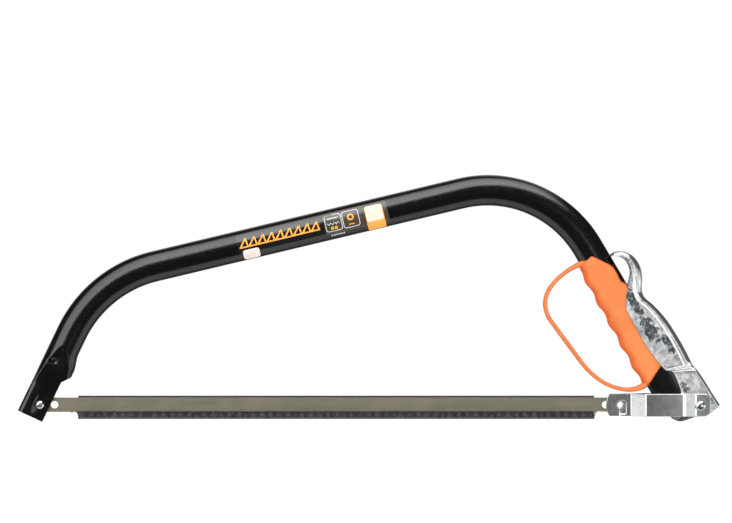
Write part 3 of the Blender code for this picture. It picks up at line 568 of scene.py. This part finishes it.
def clear_film():
    """Glossy clear film over the black enamel. Its rear part is hazier and shows its edge."""
    look = Look("clear label film")
    haze = look.noise(5.0, 4.0, 0.6)
    along = look.add("VectorMath", {0: look.place, 1: (TOP_ALONG.x, 0, TOP_ALONG.y)}, operation="DOT_PRODUCT")
    edge = Vector(FRONT_CORNER).dot(TOP_ALONG) + HAZE_FROM
    hazy = look.ramp(along.outputs["Value"], edge - HAZE_HALF, edge + HAZE_HALF)
    clear = look.mix(haze, (0.0040, 0.0040, 0.0042), (0.0065, 0.0065, 0.0060))
    cloudy = look.mix(haze, (0.030, 0.022, 0.012), (0.060, 0.046, 0.028))
    roughness = look.plus(look.times(hazy, 0.10), look.ramp(haze, 0.3, 0.7, 0.12, 0.20))
    return look.done(base_color=look.mix(hazy, clear, cloudy), roughness=roughness,
                     normal=look.bump((haze, 0.03, 0.3)), coat_weight=0.2, coat_roughness=0.05)


def print_ink(name, colour, shade):
    """Printed ink with the slight unevenness of a screen print."""
    look = Look(name)
    uneven = look.noise(1.4, 4.0, 0.6)
    fine = look.noise(0.3, 2.0)
    roughness = look.ramp(fine, 0.3, 0.7, 0.30, 0.42)
    return look.done(base_color=look.mix(uneven, colour, shade), roughness=roughness,
                     normal=look.bump((fine, 0.05, 0.05)))


def sticker_paper(name, colour, shade):
    """Coated paper: fibres, a little soiling and a faint sheen."""
    look = Look(name)
    fibres = look.noise(0.7, 5.0, 0.7, look.stretched((0.4, 1.0, 1.0), -TOP_TILT))
    soil = look.ramp(look.noise(5.0, 5.0, 0.65), 0.45, 0.75, 0.0, 0.6)
    colour = look.mix(look.ramp(fibres, 0.35, 0.65, 0.0, 0.35), colour, shade)
    roughness = look.ramp(fibres, 0.3, 0.7, 0.45, 0.6)
    return look.done(base_color=look.mix(soil, colour, shade), roughness=roughness,
                     normal=look.bump((fibres, 0.08, 0.08)))


def floor_paint():
    """Pale floor that glows a little, so its shadows stay faint. It is left out of mirror reflections,
    which see the studio's own pale paper instead."""
    look = Look("pale studio floor")
    cloud = look.noise(260.0, 3.0)
    look.done(base_color=look.mix(cloud, (0.80, 0.80, 0.80), (0.84, 0.84, 0.84)), roughness=0.8)
    paths = look.add("LightPath").outputs
    glow = look.add("Emission", {"Color": (1.0, 1.0, 1.0, 1.0), "Strength": 1.0}).outputs[0]
    lit = look.times(paths["Is Camera Ray"], FLOOR_GLOW)
    pale = look.add("MixShader", {0: lit, 1: look.shader.outputs[0], 2: glow}).outputs[0]
    clear = look.add("BsdfTransparent").outputs[0]
    mixed = look.add("MixShader", {0: paths["Is Glossy Ray"], 1: pale, 2: clear}).outputs[0]
    return look.seen_as(mixed)


# The bow

def bow_path():
    """Stations of (point, direction) along the centreline, closer together where the tube is pressed."""
    first, second = Vector(FRONT_CORNER), Vector(REAR_CORNER)
    up, along, down = FRONT_UP, TOP_ALONG, REAR_DOWN
    stop = second + down * ((Vector(LEVER_PIVOT) - second).dot(down) + REAR_END_R + 1)
    places = steps_between(0, 44, 12) + steps_between(45, 76, 28)
    stations = [(FRONT_END + up * d, up) for d in places]
    for corner, before, after, radius in ((first, up, along, FRONT_RADIUS),
                                          (second, along, down, REAR_RADIUS)):
        turn = before.angle(after)
        reach = radius * math.tan(turn / 2)
        side = inwards_of(before)
        centre = corner - before * reach + side * radius
        bend = [Matrix.Rotation(-turn * k / 30, 2) for k in range(31)]
        stations += [(centre + turned @ (-side * radius), turned @ before) for turned in bend]
        if corner is first:
            begin = stations[-1][0]
            length = (second - begin).length - REAR_RADIUS * math.tan(along.angle(down) / 2)
            stations += [(begin + along * d, along) for d in steps_between(0, length, 16)[1:-1]]
    stations += [(stop - down * d, down) for d in steps_between(REAR_PRESS[0], 0, 18)]
    return stations


def die_edge(inward):
    """How far the pressing reaches from the front end: an arch with its crown near the middle."""
    beyond = inward - DIE_CROWN
    if beyond < 0:
        return DIE_TOP - DIE_CURVE * beyond ** 2
    return DIE_TOP - DIE_INNER_DROP * min(beyond / DIE_INNER_SPAN, 1)


def tube_depth(inward, shift, half_wide, half_deep, rear, from_front, inset):
    """Half the tube's depth at one place, on the skin that is inset from the outer one."""
    front = min(max((die_edge(inward) - from_front) / DIE_STEP, 0), 1)
    power = 2 + 2 * max(front, rear)
    deep = half_deep + (FRONT_DEEP - TUBE_DEEP) / 2 * front
    across = min(abs((inward - shift) / (half_wide - inset)), 1)
    depth = (deep - inset) * (1 - across ** power) ** (1 / power)
    place = (from_front - GROOVE_PLACE - GROOVE_SLOPE * inward) / GROOVE_HALF
    window = ease((inward - GROOVE_FROM) / 2.5) * ease(-inward / 2)
    depth -= GROOVE_DEEP * max(0, 1 - place * place) ** 2 * window
    slope = min(max(share_of(inward, CHEEK_ACROSS), 0), 1)
    below, above = SEAT_ALONG
    seat = ease((from_front - below + 2) / 2) * ease((above + 2 - from_front) / 2)
    seat *= ease(share_of(inward, SEAT_ACROSS))
    slope = max(slope, seat) * falling(from_front, CHEEK_ALONG)
    depth += (min(depth, SLOT_HALF - inset) - depth) * slope
    low, high = CREASE_ALONG
    crease = ease((from_front - low) / 3) * ease((high - from_front) / 3)
    crease = max(crease, ease((below - 0.2 - from_front) / 2)) * (1 - seat) * slope
    return depth + CREASE_HIGH * crease * (1 - ease(share_of(inward, CREASE_ACROSS)))


def tube_ring(point, direction, from_front, from_rear, inset, around):
    """One ring of the skin. Both ends are pressed, which widens them inwards."""
    front, rear = falling(from_front, FRONT_PRESS), falling(from_rear, REAR_PRESS)
    wide = TUBE_WIDE + (FRONT_WIDE - TUBE_WIDE) * front + (REAR_WIDE - TUBE_WIDE) * rear
    half_deep = (TUBE_DEEP + (REAR_DEEP - TUBE_DEEP) * rear) / 2
    shift = (wide - TUBE_WIDE) / 2
    ring = []
    for i in range(around):
        a = 2 * math.pi * i / around
        inward = shift + (wide / 2 - inset) * math.cos(a)
        depth = tube_depth(inward, shift, wide / 2, half_deep, rear, from_front, inset)
        place = point + inwards_of(direction) * inward
        ring.append((place.x, math.copysign(depth, math.sin(a)), place.y))
    return ring


def bow_skin(inset, beyond_ends=0.0, around=AROUND):
    path = bow_path()
    travelled = [0.0]
    for (here, _), (after, _) in zip(path, path[1:]):
        travelled.append(travelled[-1] + (after - here).length)
    rings = []
    for k, (point, direction) in enumerate(path):
        if k == 0:
            point = point - direction * beyond_ends
        if k == len(path) - 1:
            point = point + direction * beyond_ends
        rings.append(tube_ring(point, direction, travelled[k], travelled[-1] - travelled[k], inset, around))
    return rings


def make_bow(surface):
    outer, inner = bow_skin(0.0), bow_skin(TUBE_WALL)
    bm = loft(outer + inner[::-1], closed_ends=False)
    count = len(outer[0])
    bm.verts.ensure_lookup_table()
    first, last = bm.verts[:count], bm.verts[-count:]
    for i in range(count):
        j = (i + 1) % count
        bm.faces.new((first[j], first[i], last[i], last[j]))
    tube = mesh_object(bm, "bow_tube")

    far_side = SLOT_LIP + NOTCH_REACH
    rise = NOTCH_REACH * math.tan(math.radians(NOTCH_SLOPE))
    notch = [(SLOT_LIP, -3), (far_side, -3), (far_side, NOTCH_FROM + rise), (SLOT_LIP, NOTCH_FROM)]
    boolean(tube, prism([tuple(FRONT_END + inwards_of(FRONT_UP) * a + FRONT_UP * b) for a, b in notch]))
    boolean(tube, rod(FRONT_PIN, PIN_CLEARANCE_R))

    across, below, pivot = -inwards_of(REAR_DOWN) * FAR, REAR_DOWN * FAR, Vector(LEVER_PIVOT)
    outline = [tuple(pivot + offset) for offset in (across, across + below, below - across, -across)]
    outline += arc(LEVER_PIVOT, REAR_END_R, -90 - REAR_LEG_ANGLE, 90 - REAR_LEG_ANGLE, 40)
    boolean(tube, prism(outline))
    boolean(tube, rod(LEVER_PIVOT, BUSH_HOLE_R))
    finished(tube, surface, "frame_tube")


# The grip

def spaced(points, shares):
    """Points along a polyline at these shares of its length."""
    points = [Vector(p) for p in points]
    lengths = [0.0]
    for a, b in zip(points, points[1:]):
        lengths.append(lengths[-1] + (b - a).length)
    made = []
    k = 0
    for share in shares:
        target = share * lengths[-1]
        while k < len(points) - 2 and lengths[k + 1] < target:
            k += 1
        span = (target - lengths[k]) / (lengths[k + 1] - lengths[k])
        made.append(points[k].lerp(points[k + 1], span))
    return made


def distance_to(point, line):
    """Distance from a point to a polyline."""
    best = 1e9
    for a, b in zip(line, line[1:]):
        span = b - a
        t = min(max((point - a).dot(span) / span.length_squared, 0), 1)
        best = min(best, (point - a - span * t).length)
    return best


def rounding(distance, radius, power):
    """0 at the edge, rising to 1 over the radius."""
    share = min(distance / radius, 1)
    return (1 - (1 - share) ** power) ** (1 / power)


def finger_edge():
    top, bottom = Vector((227.9, 135.6)), Vector((283.8, 34.2))
    along = (bottom - top).normalized()
    outwards = inwards_of(along)
    length = (bottom - top).length
    edge = []
    for s in steps_between(0, length, 110):
        wave = FINGER_WAVE * math.cos(2 * math.pi * (s - FIRST_CREST) / FINGER_PITCH)
        edge.append(top + along * s + outwards * (wave - FINGER_WAVE / 5))
    return edge


def grip_body():
    """A crowned moulding between the finger edge and the back edge, rounded most under the fingers."""
    front = [Vector((231.4, 147.6)), Vector((228.2, 144.6)), Vector((227.4, 140.6))] + finger_edge()
    front += [Vector((286.0, 31.6))]
    back = [(238.8, 149.8), (249.0, 144.6), (257.6, 139.8), (261.8, 134.0), (265.8, 126.2), (272.4, 120.6),
            (290.2, 89.2), (307.8, 58.0), (301.2, 46.6), (297.6, 41.4), (292.6, 33.4), (288.3, 29.8)]
    rows, columns = 170, 44
    shares = steps_between(0, 1, rows)
    left = spaced(front, shares)
    right = spaced(flow(back, 6), shares)
    others = [left[0]] + right + [left[-1]]
    bm = bmesh.new()
    near, far = [], []
    for a, b in zip(left, right):
        near.append([])
        far.append([])
        for j in range(columns + 1):
            t = (1 - math.cos(math.pi * j / columns)) / 2
            place = a.lerp(b, t)
            down = (place - left[3]).dot((left[-1] - left[3]).normalized())
            phase = 2 * math.pi * (down - FIRST_CREST) / FINGER_PITCH
            reach = FINGER_ROUND + DIP_ROUND * (1 - math.cos(phase))
            height = rounding(distance_to(place, left), reach, 2.0)
            height *= rounding(distance_to(place, others), EDGE_ROUND, 2.8)
            depth = GRIP_HALF * height
            rim = depth < 1e-6
            near[-1].append(bm.verts.new((place.x, -depth, place.y)))
            far[-1].append(near[-1][-1] if rim else bm.verts.new((place.x, depth, place.y)))
    for side in (near, far):
        for upper, lower in zip(side, side[1:]):
            for j in range(columns):
                bm.faces.new((upper[j], upper[j + 1], lower[j + 1], lower[j]))
    bmesh.ops.remove_doubles(bm, verts=bm.verts, dist=1e-4)
    return bm


def knuckle_strap():
    """A strap of rounded section, a little thicker where it joins the grip."""
    path = flow([(240, 142.5), (233, 142.9), (226, 140.4), (215.5, 134.4), (205.0, 125.0), (198.6, 115.4),
                 (196.5, 105.0), (199.2, 94.0), (206.2, 83.6), (214.8, 71.9), (223.5, 60.1),
                 (232.4, 48.4), (242.0, 38.9), (254.6, 31.0), (269.0, 27.0), (281.0, 28.0),
                 (289.0, 32.8), (292.5, 40.5)], 7)
    around = 40
    rings = []
    for i, point in enumerate(path):
        along = (path[min(i + 1, len(path) - 1)] - path[max(i - 1, 0)]).normalized()
        aside = Vector((-along.y, along.x))
        to_end = min(i, len(path) - 1 - i) / 7
        thick = KNUCKLE_HALF_THICK * (1 + 0.5 * ease((3.2 - to_end) / 2.2))
        ring = []
        for k in range(around):
            a = 2 * math.pi * k / around
            across = math.copysign(abs(math.cos(a)) ** 0.6, math.cos(a)) * thick
            depth = math.copysign(abs(math.sin(a)) ** 0.4, math.sin(a)) * KNUCKLE_HALF
            place = point + aside * across
            ring.append((place.x, depth, place.y))
        rings.append(ring)
    return loft(rings)


def make_grip(surface):
    grip = mesh_object(grip_body(), "moulded_grip", 50.0)
    boolean(grip, knuckle_strap(), "UNION")
    boolean(grip, loft(bow_skin(-GAP, 5.0, 48)))
    finished(grip, surface, "grip")


# The tensioning lever

def lever_stations():
    """(outer x, outer z, front x, front z, half-width, bead) from the thumb curl to the tail."""
    wide, slim = HOOD_OUTER, EAR_OUTER
    halfway = (wide + slim) / 2 + 0.6
    upper = [(256.4, 150.4, 256.9, 148.4, 10.5, 0), (260.0, 152.6, 259.4, 148.6, 12.4, 0),
             (266.5, 153.2, 265.4, 148.0, wide, 0), (273.5, 150.6, 270.2, 145.4, wide, 0),
             (279.3, 145.4, 273.2, 140.4, wide, 0), (283.4, 137.5, 274.6, 134.3, wide, 0.1),
             (284.7, 128.0, 273.6, 127.5, wide, 0.35), (284.3, 118.0, 270.7, 117.0, wide, 0.7),
             (287.0, 110.8, 269.5, 107.8, wide, 1), (295.0, 103.8, 270.4, 99.4, wide, 1),
             (307.0, 90.4, 277.2, 86.4, wide, 1), (319.8, 70.3, 289.4, 65.0, wide, 1),
             (328.6, 53.4, 303.0, 47.6, wide, 0.9), (331.2, 48.8, 306.8, 44.8, halfway, 0.6),
             (336.0, 43.4, 312.8, 42.6, slim, 0.4), (342.6, 33.7, 318.4, 31.0, slim, 0.4)]
    ear = [(*outer, *polar(LEVER_PIVOT, EAR_R, angle), slim, 0.4) for outer, angle in
           (((348.1, 24.6), 92), ((350.2, 21.4), 130), ((351.8, 19.0), 165), ((353.0, 17.1), 200),
            ((354.0, 15.6), 235), ((354.7, 14.5), 270))]
    tail = [(355.1, 13.8, 332.6, 2.0, slim, 0.3), (355.4, 13.3, 345.5, 5.0, slim, 0.2),
            (355.6, 12.9, 351.0, 8.6, slim, 0.1)]
    return upper + ear + tail


def flow_stations(stations, per_span):
    """A smooth curve through the stations' two points, with the other values eased from one to the next."""
    ends = [stations[0]] + stations + [stations[-1]]
    made = []
    for i in range(len(stations) - 1):
        a, b, c, d = ends[i:i + 4]
        for k in range(per_span):
            t = k / per_span
            places = [between(*four, t) for four in zip(a[:4], b[:4], c[:4], d[:4])]
            made.append((*places, *(b[j] + (c[j] - b[j]) * ease(t) for j in (4, 5))))
    return made + [stations[-1]]


def lever_section(outer, front, half, bead):
    """A closed U. Each flange has a raised bead beside the fold, which stiffens the pressing."""
    depth = (front - outer).length
    inwards = (front - outer) / depth
    widening = ease((half - EAR_OUTER) / (HOOD_OUTER - EAR_OUTER))
    fold = EAR_FOLD + (CURL_FOLD + (HOOD_FOLD - CURL_FOLD) * ease(bead) - EAR_FOLD) * widening
    fold = min(fold, depth * 0.7)
    rise = BEAD_RISE * bead * (0.35 + 0.65 * widening)
    crest, foot = BEAD_CREST * fold / HOOD_FOLD, BEAD_FOOT * fold / HOOD_FOLD

    def skin(inset):
        radius = max(fold - inset, 0.3)
        centre = inset + radius
        top = half + rise - inset
        flange = [(depth, top - rise * ease((depth - crest) / (foot - crest)))]
        for d in steps_between(max(foot + 0.5, centre + 0.2), centre + 0.1, 12):
            if d < depth - 0.05:
                flange.append((d, top - rise * ease((d - crest) / (foot - crest))))
        for angle in steps_between(90, 180, 12):
            d, y = polar((centre, top - radius), radius, angle)
            flange.append((min(d, depth), y))
        while len(flange) < FLANGE_POINTS:
            flange.insert(1, flange[0])
        return [(d, -y) for d, y in flange] + [(d, y) for d, y in reversed(flange)]

    return [(outer + inwards * d, y) for d, y in skin(0) + skin(SHEET)[::-1]]


def make_lever(surface):
    rings = []
    for ox, oz, fx, fz, half, bead in flow_stations(lever_stations(), 6):
        section = lever_section(Vector((ox, oz)), Vector((fx, fz)), half, bead)
        rings.append([(p.x, y, p.y) for p, y in section])
    bm = loft(rings, closed_ends=False)
    bm.verts.ensure_lookup_table()
    count = len(rings[0])
    for ring in (bm.verts[:count], bm.verts[-count:]):
        for i in range(count // 2 - 1):
            bm.faces.new((ring[i], ring[i + 1], ring[count - 2 - i], ring[count - 1 - i]))
    bmesh.ops.remove_doubles(bm, verts=bm.verts, dist=1e-4)
    lever = mesh_object(bm, "pressed_lever", 40.0)
    boolean(lever, rod(LEVER_PIVOT, PIVOT_HOLE_R))
    boolean(lever, rod(LINK_RIVET, RIVET_HOLE_R))
    finished(lever, surface, "tension_lever")


# The link

def rounded(corners):
    """A closed outline from (x, z, corner radius) triples."""
    outline = []
    for i, (x, z, radius) in enumerate(corners):
        here = Vector((x, z))
        if radius <= 0:
            outline.append((x, z))
            continue
        before = (Vector(corners[i - 1][:2]) - here).normalized()
        after = (Vector(corners[(i + 1) % len(corners)][:2]) - here).normalized()
        half = before.angle(after) / 2
        reach = radius / math.tan(half)
        centre = here + (before + after).normalized() * radius / math.sin(half)
        first = here + before * reach - centre
        turn = first.angle_signed(here + after * reach - centre)
        steps = max(4, round(abs(math.degrees(turn)) / 4))
        outline += [tuple(centre + Matrix.Rotation(-turn * k / steps, 2) @ first) for k in range(steps + 1)]
    return outline


def plate_plan():
    """The link plate seen from above, on the +Y side: an even strip with a rounded bend at each turn."""
    line = [(LINK_FRONT, LINK_AT_BLADE), (LINK_BENDS[0], LINK_AT_BLADE), (LINK_BENDS[1], LINK_AT_MIDDLE),
            (LINK_BENDS[2], LINK_AT_MIDDLE), (LINK_BENDS[3], LINK_AT_RIVET), (LINK_REAR, LINK_AT_RIVET)]
    inner, outer = [], []
    for i, point in enumerate(line):
        here = Vector(point)
        before = (here - Vector(line[max(i - 1, 0)])).normalized()
        after = (Vector(line[min(i + 1, len(line) - 1)]) - here).normalized()
        middle = (before + after).normalized()
        aside = Vector((-middle.y, middle.x))
        edge = before if i else after
        place = here + aside * PLATE_THICK / aside.dot(Vector((-edge.y, edge.x)))
        tight = LINK_BEND_R[i]
        wide = tight + PLATE_THICK if tight else 0
        outwards = bool(tight) and before.angle_signed(after) < 0
        inner.append((*point, wide if outwards else tight))
        outer.append((*place, tight if outwards else wide))
    return rounded(inner + outer[::-1])


def oblong(left, right, low, high):
    return [(left, low), (right, low), (right, high), (left, high)]


def make_link_plate(node, side, surface):
    """A joggled plate whose front end has a hole over the blade's pin, a slit below it and a pressed pocket
    behind it.
    """
    plan = [(x, side * y, -FAR) for x, y in plate_plan()]
    plate = mesh_object(carried([plan], (0, 0, 2 * FAR)), node + "_fine", 20.0)
    half = (LINK_TOP - LINK_BOTTOM) / 2
    nose = math.degrees(math.asin(half / NOSE_R))
    outline = arc((LINK_FRONT + NOSE_R, LINK_BOTTOM + half), NOSE_R, 180 - nose, 180 + nose, 16)
    straight = LINK_REAR - 20
    outline += rounded([(straight, LINK_BOTTOM, 0), (LINK_REAR, LINK_BOTTOM, LINK_CORNER_R),
                        (LINK_REAR, LINK_TOP, LINK_CORNER_R), (straight, LINK_TOP, 0)])
    boolean(plate, prism(outline), "INTERSECT")
    boolean(plate, rod(HOOK_PIN, HOOK_HOLE_R))
    x, z = HOOK_PIN
    boolean(plate, prism(oblong(x - HOOK_SLIT / 2, x + HOOK_SLIT / 2, 0, z)))
    rearward, above, below, depth = HOOK_POCKET
    pocket = rounded([(x, z + below, 0), (x + rearward, z + below, 1.6), (x + rearward, z + above, 2.4),
                      (x, z + above, 0)])
    boolean(plate, prism(pocket, side * (LINK_AT_BLADE + PLATE_THICK - depth), side * FAR))
    boolean(plate, rod(LINK_RIVET, RIVET_R + GAP))
    bm = joined_flats(plate.data)
    bm.to_mesh(plate.data)
    bm.free()
    bevel(plate, PLATE_EDGE, 3, clamped=False)
    finished(plate, surface, node)


def make_link_rivet(surface):
    """A double-domed rivet through both plates and the lever's ears."""
    seat = LINK_AT_RIVET + PLATE_THICK + GAP
    rim = seat + RIVET_RIM
    dome = [(RIVET_HEAD_R * math.sin(math.radians(a)), rim + RIVET_DOME * math.cos(math.radians(a)))
            for a in steps_between(2, 90, 16)]
    half = dome + [(RIVET_HEAD_R, seat), (RIVET_R, seat)]
    profile = [(radius, -y) for radius, y in half] + half[::-1]
    rings = [[(x, y, z) for x, z in circle(LINK_RIVET, radius)] for radius, y in profile]
    finished(mesh_object(loft(rings), "rivet_fine", 50.0), surface, "link_rivet")


# Printed decoration on the top tube

def on_tube(distance, inward, lift):
    """A place on the near side of the straight top tube, from the front corner and the centreline."""
    place = Vector(FRONT_CORNER) + TOP_ALONG * distance + inwards_of(TOP_ALONG) * inward
    half_wide, half_deep = TUBE_WIDE / 2 + lift, TUBE_DEEP / 2 + lift
    return place.x, -half_deep * math.sqrt(max(1 - (inward / half_wide) ** 2, 0)), place.y


def wrapped(name, shapes, surface, lift, thick):
    """Flat shapes of (distance, inward) points, wrapped round the tube as a thin layer."""
    bm = carried([[(d, 0, u) for d, u in shape] for shape in shapes], (0, 1, 0))
    low = math.floor(min(v.co.z for v in bm.verts))
    high = math.ceil(max(v.co.z for v in bm.verts))
    for k in range(2 * (high - low)):
        bmesh.ops.bisect_plane(bm, geom=bm.verts[:] + bm.edges[:] + bm.faces[:], dist=1e-4,
                               plane_co=(0, 0, low + k / 2 + 0.01), plane_no=(0, 0, 1))
    for v in bm.verts:
        v.co = on_tube(v.co.x, v.co.z, lift + thick * v.co.y)
    piece = mesh_object(bm, name)
    piece.data.materials.append(surface)
    return piece


def printed(name, shapes, surface, lift):
    """Thin raised ink on the frame's labels."""
    piece = wrapped(name, shapes, surface, lift, INK_THICK)
    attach(piece, "frame")


def rounded_square(centre, half, radius, tall=None):
    """Or a rounded oblong, when its half-height is given too."""
    corners = ((1, 1, 0), (-1, 1, 90), (-1, -1, 180), (1, -1, 270))
    outline = []
    for sx, sy, start in corners:
        middle = (centre[0] + sx * (half - radius), centre[1] + sy * ((tall or half) - radius))
        outline += arc(middle, radius, start, start + 90, 6)
    return outline


def ring_quads(outer, inner):
    count = len(outer)
    return [[outer[i], outer[(i + 1) % count], inner[(i + 1) % count], inner[i]] for i in range(count)]


def make_labels(film, white, orange_sheet):
    """The film and the two stickers, with rounded corners, in place of the plain CAD sheets."""
    sheets = (("label_film", "frame_label", film, FILM_LIFT, ((202.5, -0.5), 70.4, 1.5, 9.5)),
              ("small_sticker", "small_sticker", white, STICKER_LIFT, ((143.4, 9.2), 7.6, 2.2, 4.3)),
              ("rear_sticker", "rear_sticker", orange_sheet, STICKER_LIFT, ((260.55, 3.0), 8.35, 1.0, 10.5)))
    for name, node, surface, lift, shape in sheets:
        sheet = wrapped(name + "_fine", [rounded_square(*shape)], surface, lift, SHEET_THICK)
        finished(sheet, surface, node)


def make_prints():
    """Generic ornament in place of lettering: a saw-tooth line, two outlined squares and sticker lines."""
    orange = print_ink("orange ink", (0.88, 0.36, 0.045), (0.80, 0.28, 0.03))
    pale = print_ink("pale grey ink", (0.46, 0.50, 0.50), (0.36, 0.40, 0.40))
    pink = print_ink("faded ink", (0.74, 0.50, 0.38), (0.66, 0.44, 0.34))
    olive = print_ink("olive ink", (0.075, 0.080, 0.030), (0.050, 0.055, 0.022))
    start, stop, top, bottom, stroke = 134.0, 209.0, -5.6, 2.9, 1.3
    pitch = (stop - start) / 9
    teeth = [oblong(start, stop, bottom - stroke, bottom)]
    for k in range(9):
        x = start + pitch * k
        tip = (x + pitch * 0.72, top)
        teeth.append([(x, bottom - stroke), tip, (tip[0] + stroke, top), (x + 1.6 * stroke, bottom - stroke)])
        teeth.append([(tip[0], top), (tip[0] + stroke, top), (x + pitch, bottom - stroke),
                      (x + pitch - 1.1 * stroke, bottom - stroke)])
    printed("ornament_teeth", teeth[:1] + teeth[1::2], orange, FILM_TOP)
    printed("ornament_gullets", teeth[2::2], orange, FILM_TOP + INK_THICK)
    outlines = []
    for centre in ((222.2, -0.8), (238.6, -0.8)):
        outlines += ring_quads(rounded_square(centre, 7.8, 2.4), rounded_square(centre, 7.05, 1.9))
    printed("badge_outlines", outlines, pale, FILM_TOP)
    zigzag = [(216.4 + 1.65 * k, -0.9 + (1.2 if k % 2 else -0.6)) for k in range(8)]
    strokes = [[a, b, (b[0], b[1] + 0.9), (a[0], a[1] + 0.9)] for a, b in zip(zigzag, zigzag[1:])]
    strokes.append(oblong(216.8, 227.6, -5.6, -4.6))
    printed("badge_teeth", strokes, pale, FILM_TOP)
    bars = [oblong(219.2, 221.6, 2.6, 5.2), oblong(222.8, 225.2, 2.6, 5.2)]
    bars += ring_quads(circle((238.6, -2.4), 3.1, 24), circle((238.6, -2.4), 1.7, 24))
    bars.append(oblong(236.0, 241.2, 3.6, 4.4))
    printed("badge_marks", bars, orange, FILM_TOP)
    dashes = [oblong(218 + 2.2 * k, 219.5 + 2.2 * k, 9.7, 10.9) for k in range(6)]
    printed("edge_dashes", dashes, pale, 0.1)
    printed("film_tint", [[(214.2, -9.8), (224.6, -9.8), (221.2, -7.6), (214.2, -7.6)]], olive, FILM_TOP)
    lines = [oblong(139.0, 148.0, u, u + 0.5) for u in (7.2, 8.9, 10.6)]
    printed("small_sticker_lines", lines, pink, STICKER_TOP)
    cream = sticker_paper("cream paper", (0.68, 0.57, 0.475), (0.62, 0.48, 0.38))
    printed("cream_patch", [rounded_square((260.5, -1.0), 7.8, 1.8, 7.2)], cream, STICKER_TOP)
    lines = [oblong(255.0, 266.0, u, u + 0.5) for u in (-5.4, -2.9, -0.4, 2.1)]
    printed("cream_patch_lines", lines, pink, STICKER_TOP + INK_THICK)


# Studio

def make_floor():
    low = cad_box[0][2] - FLOOR_DROP
    bm = bmesh.new()
    corners = ((-1, -1), (1, -1), (1, 1), (-1, 1))
    bm.faces.new([bm.verts.new((FLOOR_HALF * x, FLOOR_HALF * y, low)) for x, y in corners])
    mesh = bpy.data.meshes.new("floor")
    bm.to_mesh(mesh)
    bm.free()
    mesh.materials.append(floor_paint())
    placed("floor", mesh)


def make_world():
    """White to the camera. Reflections see a dark room with a wide softbox above and to the left, a narrow
    strip light to the right and pale paper below, and the same more faintly behind."""
    world = bpy.data.worlds.new("studio")
    bpy.context.scene.world = world
    world.use_nodes = True
    nodes = Nodes(world.node_tree)
    ramp, times, plus, minus = nodes.ramp, nodes.times, nodes.plus, nodes.minus
    x, y, z = nodes.split(nodes.add("TexCoord").outputs["Generated"])
    path = nodes.add("LightPath").outputs

    def box(strength, *walls):
        level = strength
        for wall in walls:
            level = times(wall, level)
        return level

    side = nodes.maths("ABSOLUTE", y)
    front = ramp(y, -0.02, 0.08, 1.0, 0.0)
    low_edge = minus(z, times(side, 0.47))
    low_edge = minus(low_edge, times(nodes.maths("MINIMUM", x, 0.0), 1.2))
    low_edge = minus(low_edge, times(nodes.maths("MAXIMUM", x, 0.0), 0.62))
    far_edge = plus(minus(side, 0.2), times(x, 0.4))
    upper = box(SOFTBOX, ramp(low_edge, -0.05, 0.07), ramp(far_edge, -0.06, 0.10),
                ramp(side, 0.15, 0.80, 0.5), ramp(x, -0.97, -0.85, 0.72), ramp(x, -0.5, 0.0, 0.62),
                ramp(x, 0.62, 0.40), ramp(z, -0.10, 0.02))
    lower = box(PAPER_BELOW, ramp(side, 0.74, 0.64), ramp(z, 0.08, -0.06))
    height = nodes.maths("ABSOLUTE", z)
    strip = box(STRIP_LIGHT, ramp(x, 0.15, 0.21), ramp(x, 0.60, 0.50), ramp(height, 0.13, 0.07))
    right = box(SIDE_LIGHT, ramp(x, 0.45, 0.60), ramp(z, 0.30, 0.15), ramp(z, -0.30, -0.15))
    level = plus(plus(upper, lower), plus(strip, right))
    behind = plus(times(path["Is Diffuse Ray"], BEHIND_DIFFUSE), BEHIND)
    share = plus(front, times(minus(1.0, front), behind))
    level = plus(times(level, share), AMBIENT)
    seen = path["Is Camera Ray"]
    level = plus(times(level, minus(1.0, seen)), seen)
    background = world.node_tree.nodes["Background"]
    nodes.set(background, "Strength", level)
    nodes.set(background, "Color", (1, 1, 1, 1))


def make_camera():
    data = bpy.data.cameras.new("camera")
    data.sensor_width = SENSOR
    data.lens = SENSOR * VIEW_DISTANCE / VIEW_WIDTH
    camera = placed("camera", data)
    camera.location = VIEW_AIM - Vector((0, VIEW_DISTANCE, 0))
    camera.rotation_euler = (math.radians(90), 0, 0)
    bpy.context.scene.camera = camera


def dress():
    steel = bright_steel()
    lever_zinc = zinc_plate("zinc plate, lever", patches=LEVER_PAINTED_REFLECTIONS, clouding=0.30,
                            rough=(0.13, 0.36, 0.46), fold_polish_and_painted_light=0.9, contrast=1.0)
    link_zinc = zinc_plate("zinc plate, link", patches=(), clouding=0.16,
                           rough=(0.14, 0.18, 0.20), fold_polish_and_painted_light=0.0, contrast=0.35)
    make_bow(black_paint())
    make_grip(orange_plastic())
    make_lever(lever_zinc)
    for node, side in (("link_plate_near", -1), ("link_plate_far", 1)):
        make_link_plate(node, side, link_zinc)
    make_link_rivet(steel)
    for node in ("front_pin_screw", "front_pin_washer", "front_pin_nut", "lever_pivot_bush",
                 "lever_pivot_pin", "blade_hook_pin", "link_spacer"):
        refined(node, steel, 0.12)
    refined("saw_blade", blade_lacquer(), 0.12)
    refined("blade_guard", smoked_plastic(), 0.3)
    make_labels(clear_film(), sticker_paper("white paper", (0.65, 0.60, 0.56), (0.60, 0.50, 0.44)),
                sticker_paper("orange paper", (0.76, 0.315, 0.045), (0.70, 0.25, 0.035)))
    make_prints()


dress()
make_floor()
make_world()
make_camera()
bpy.context.scene.view_settings.view_transform = "Standard"
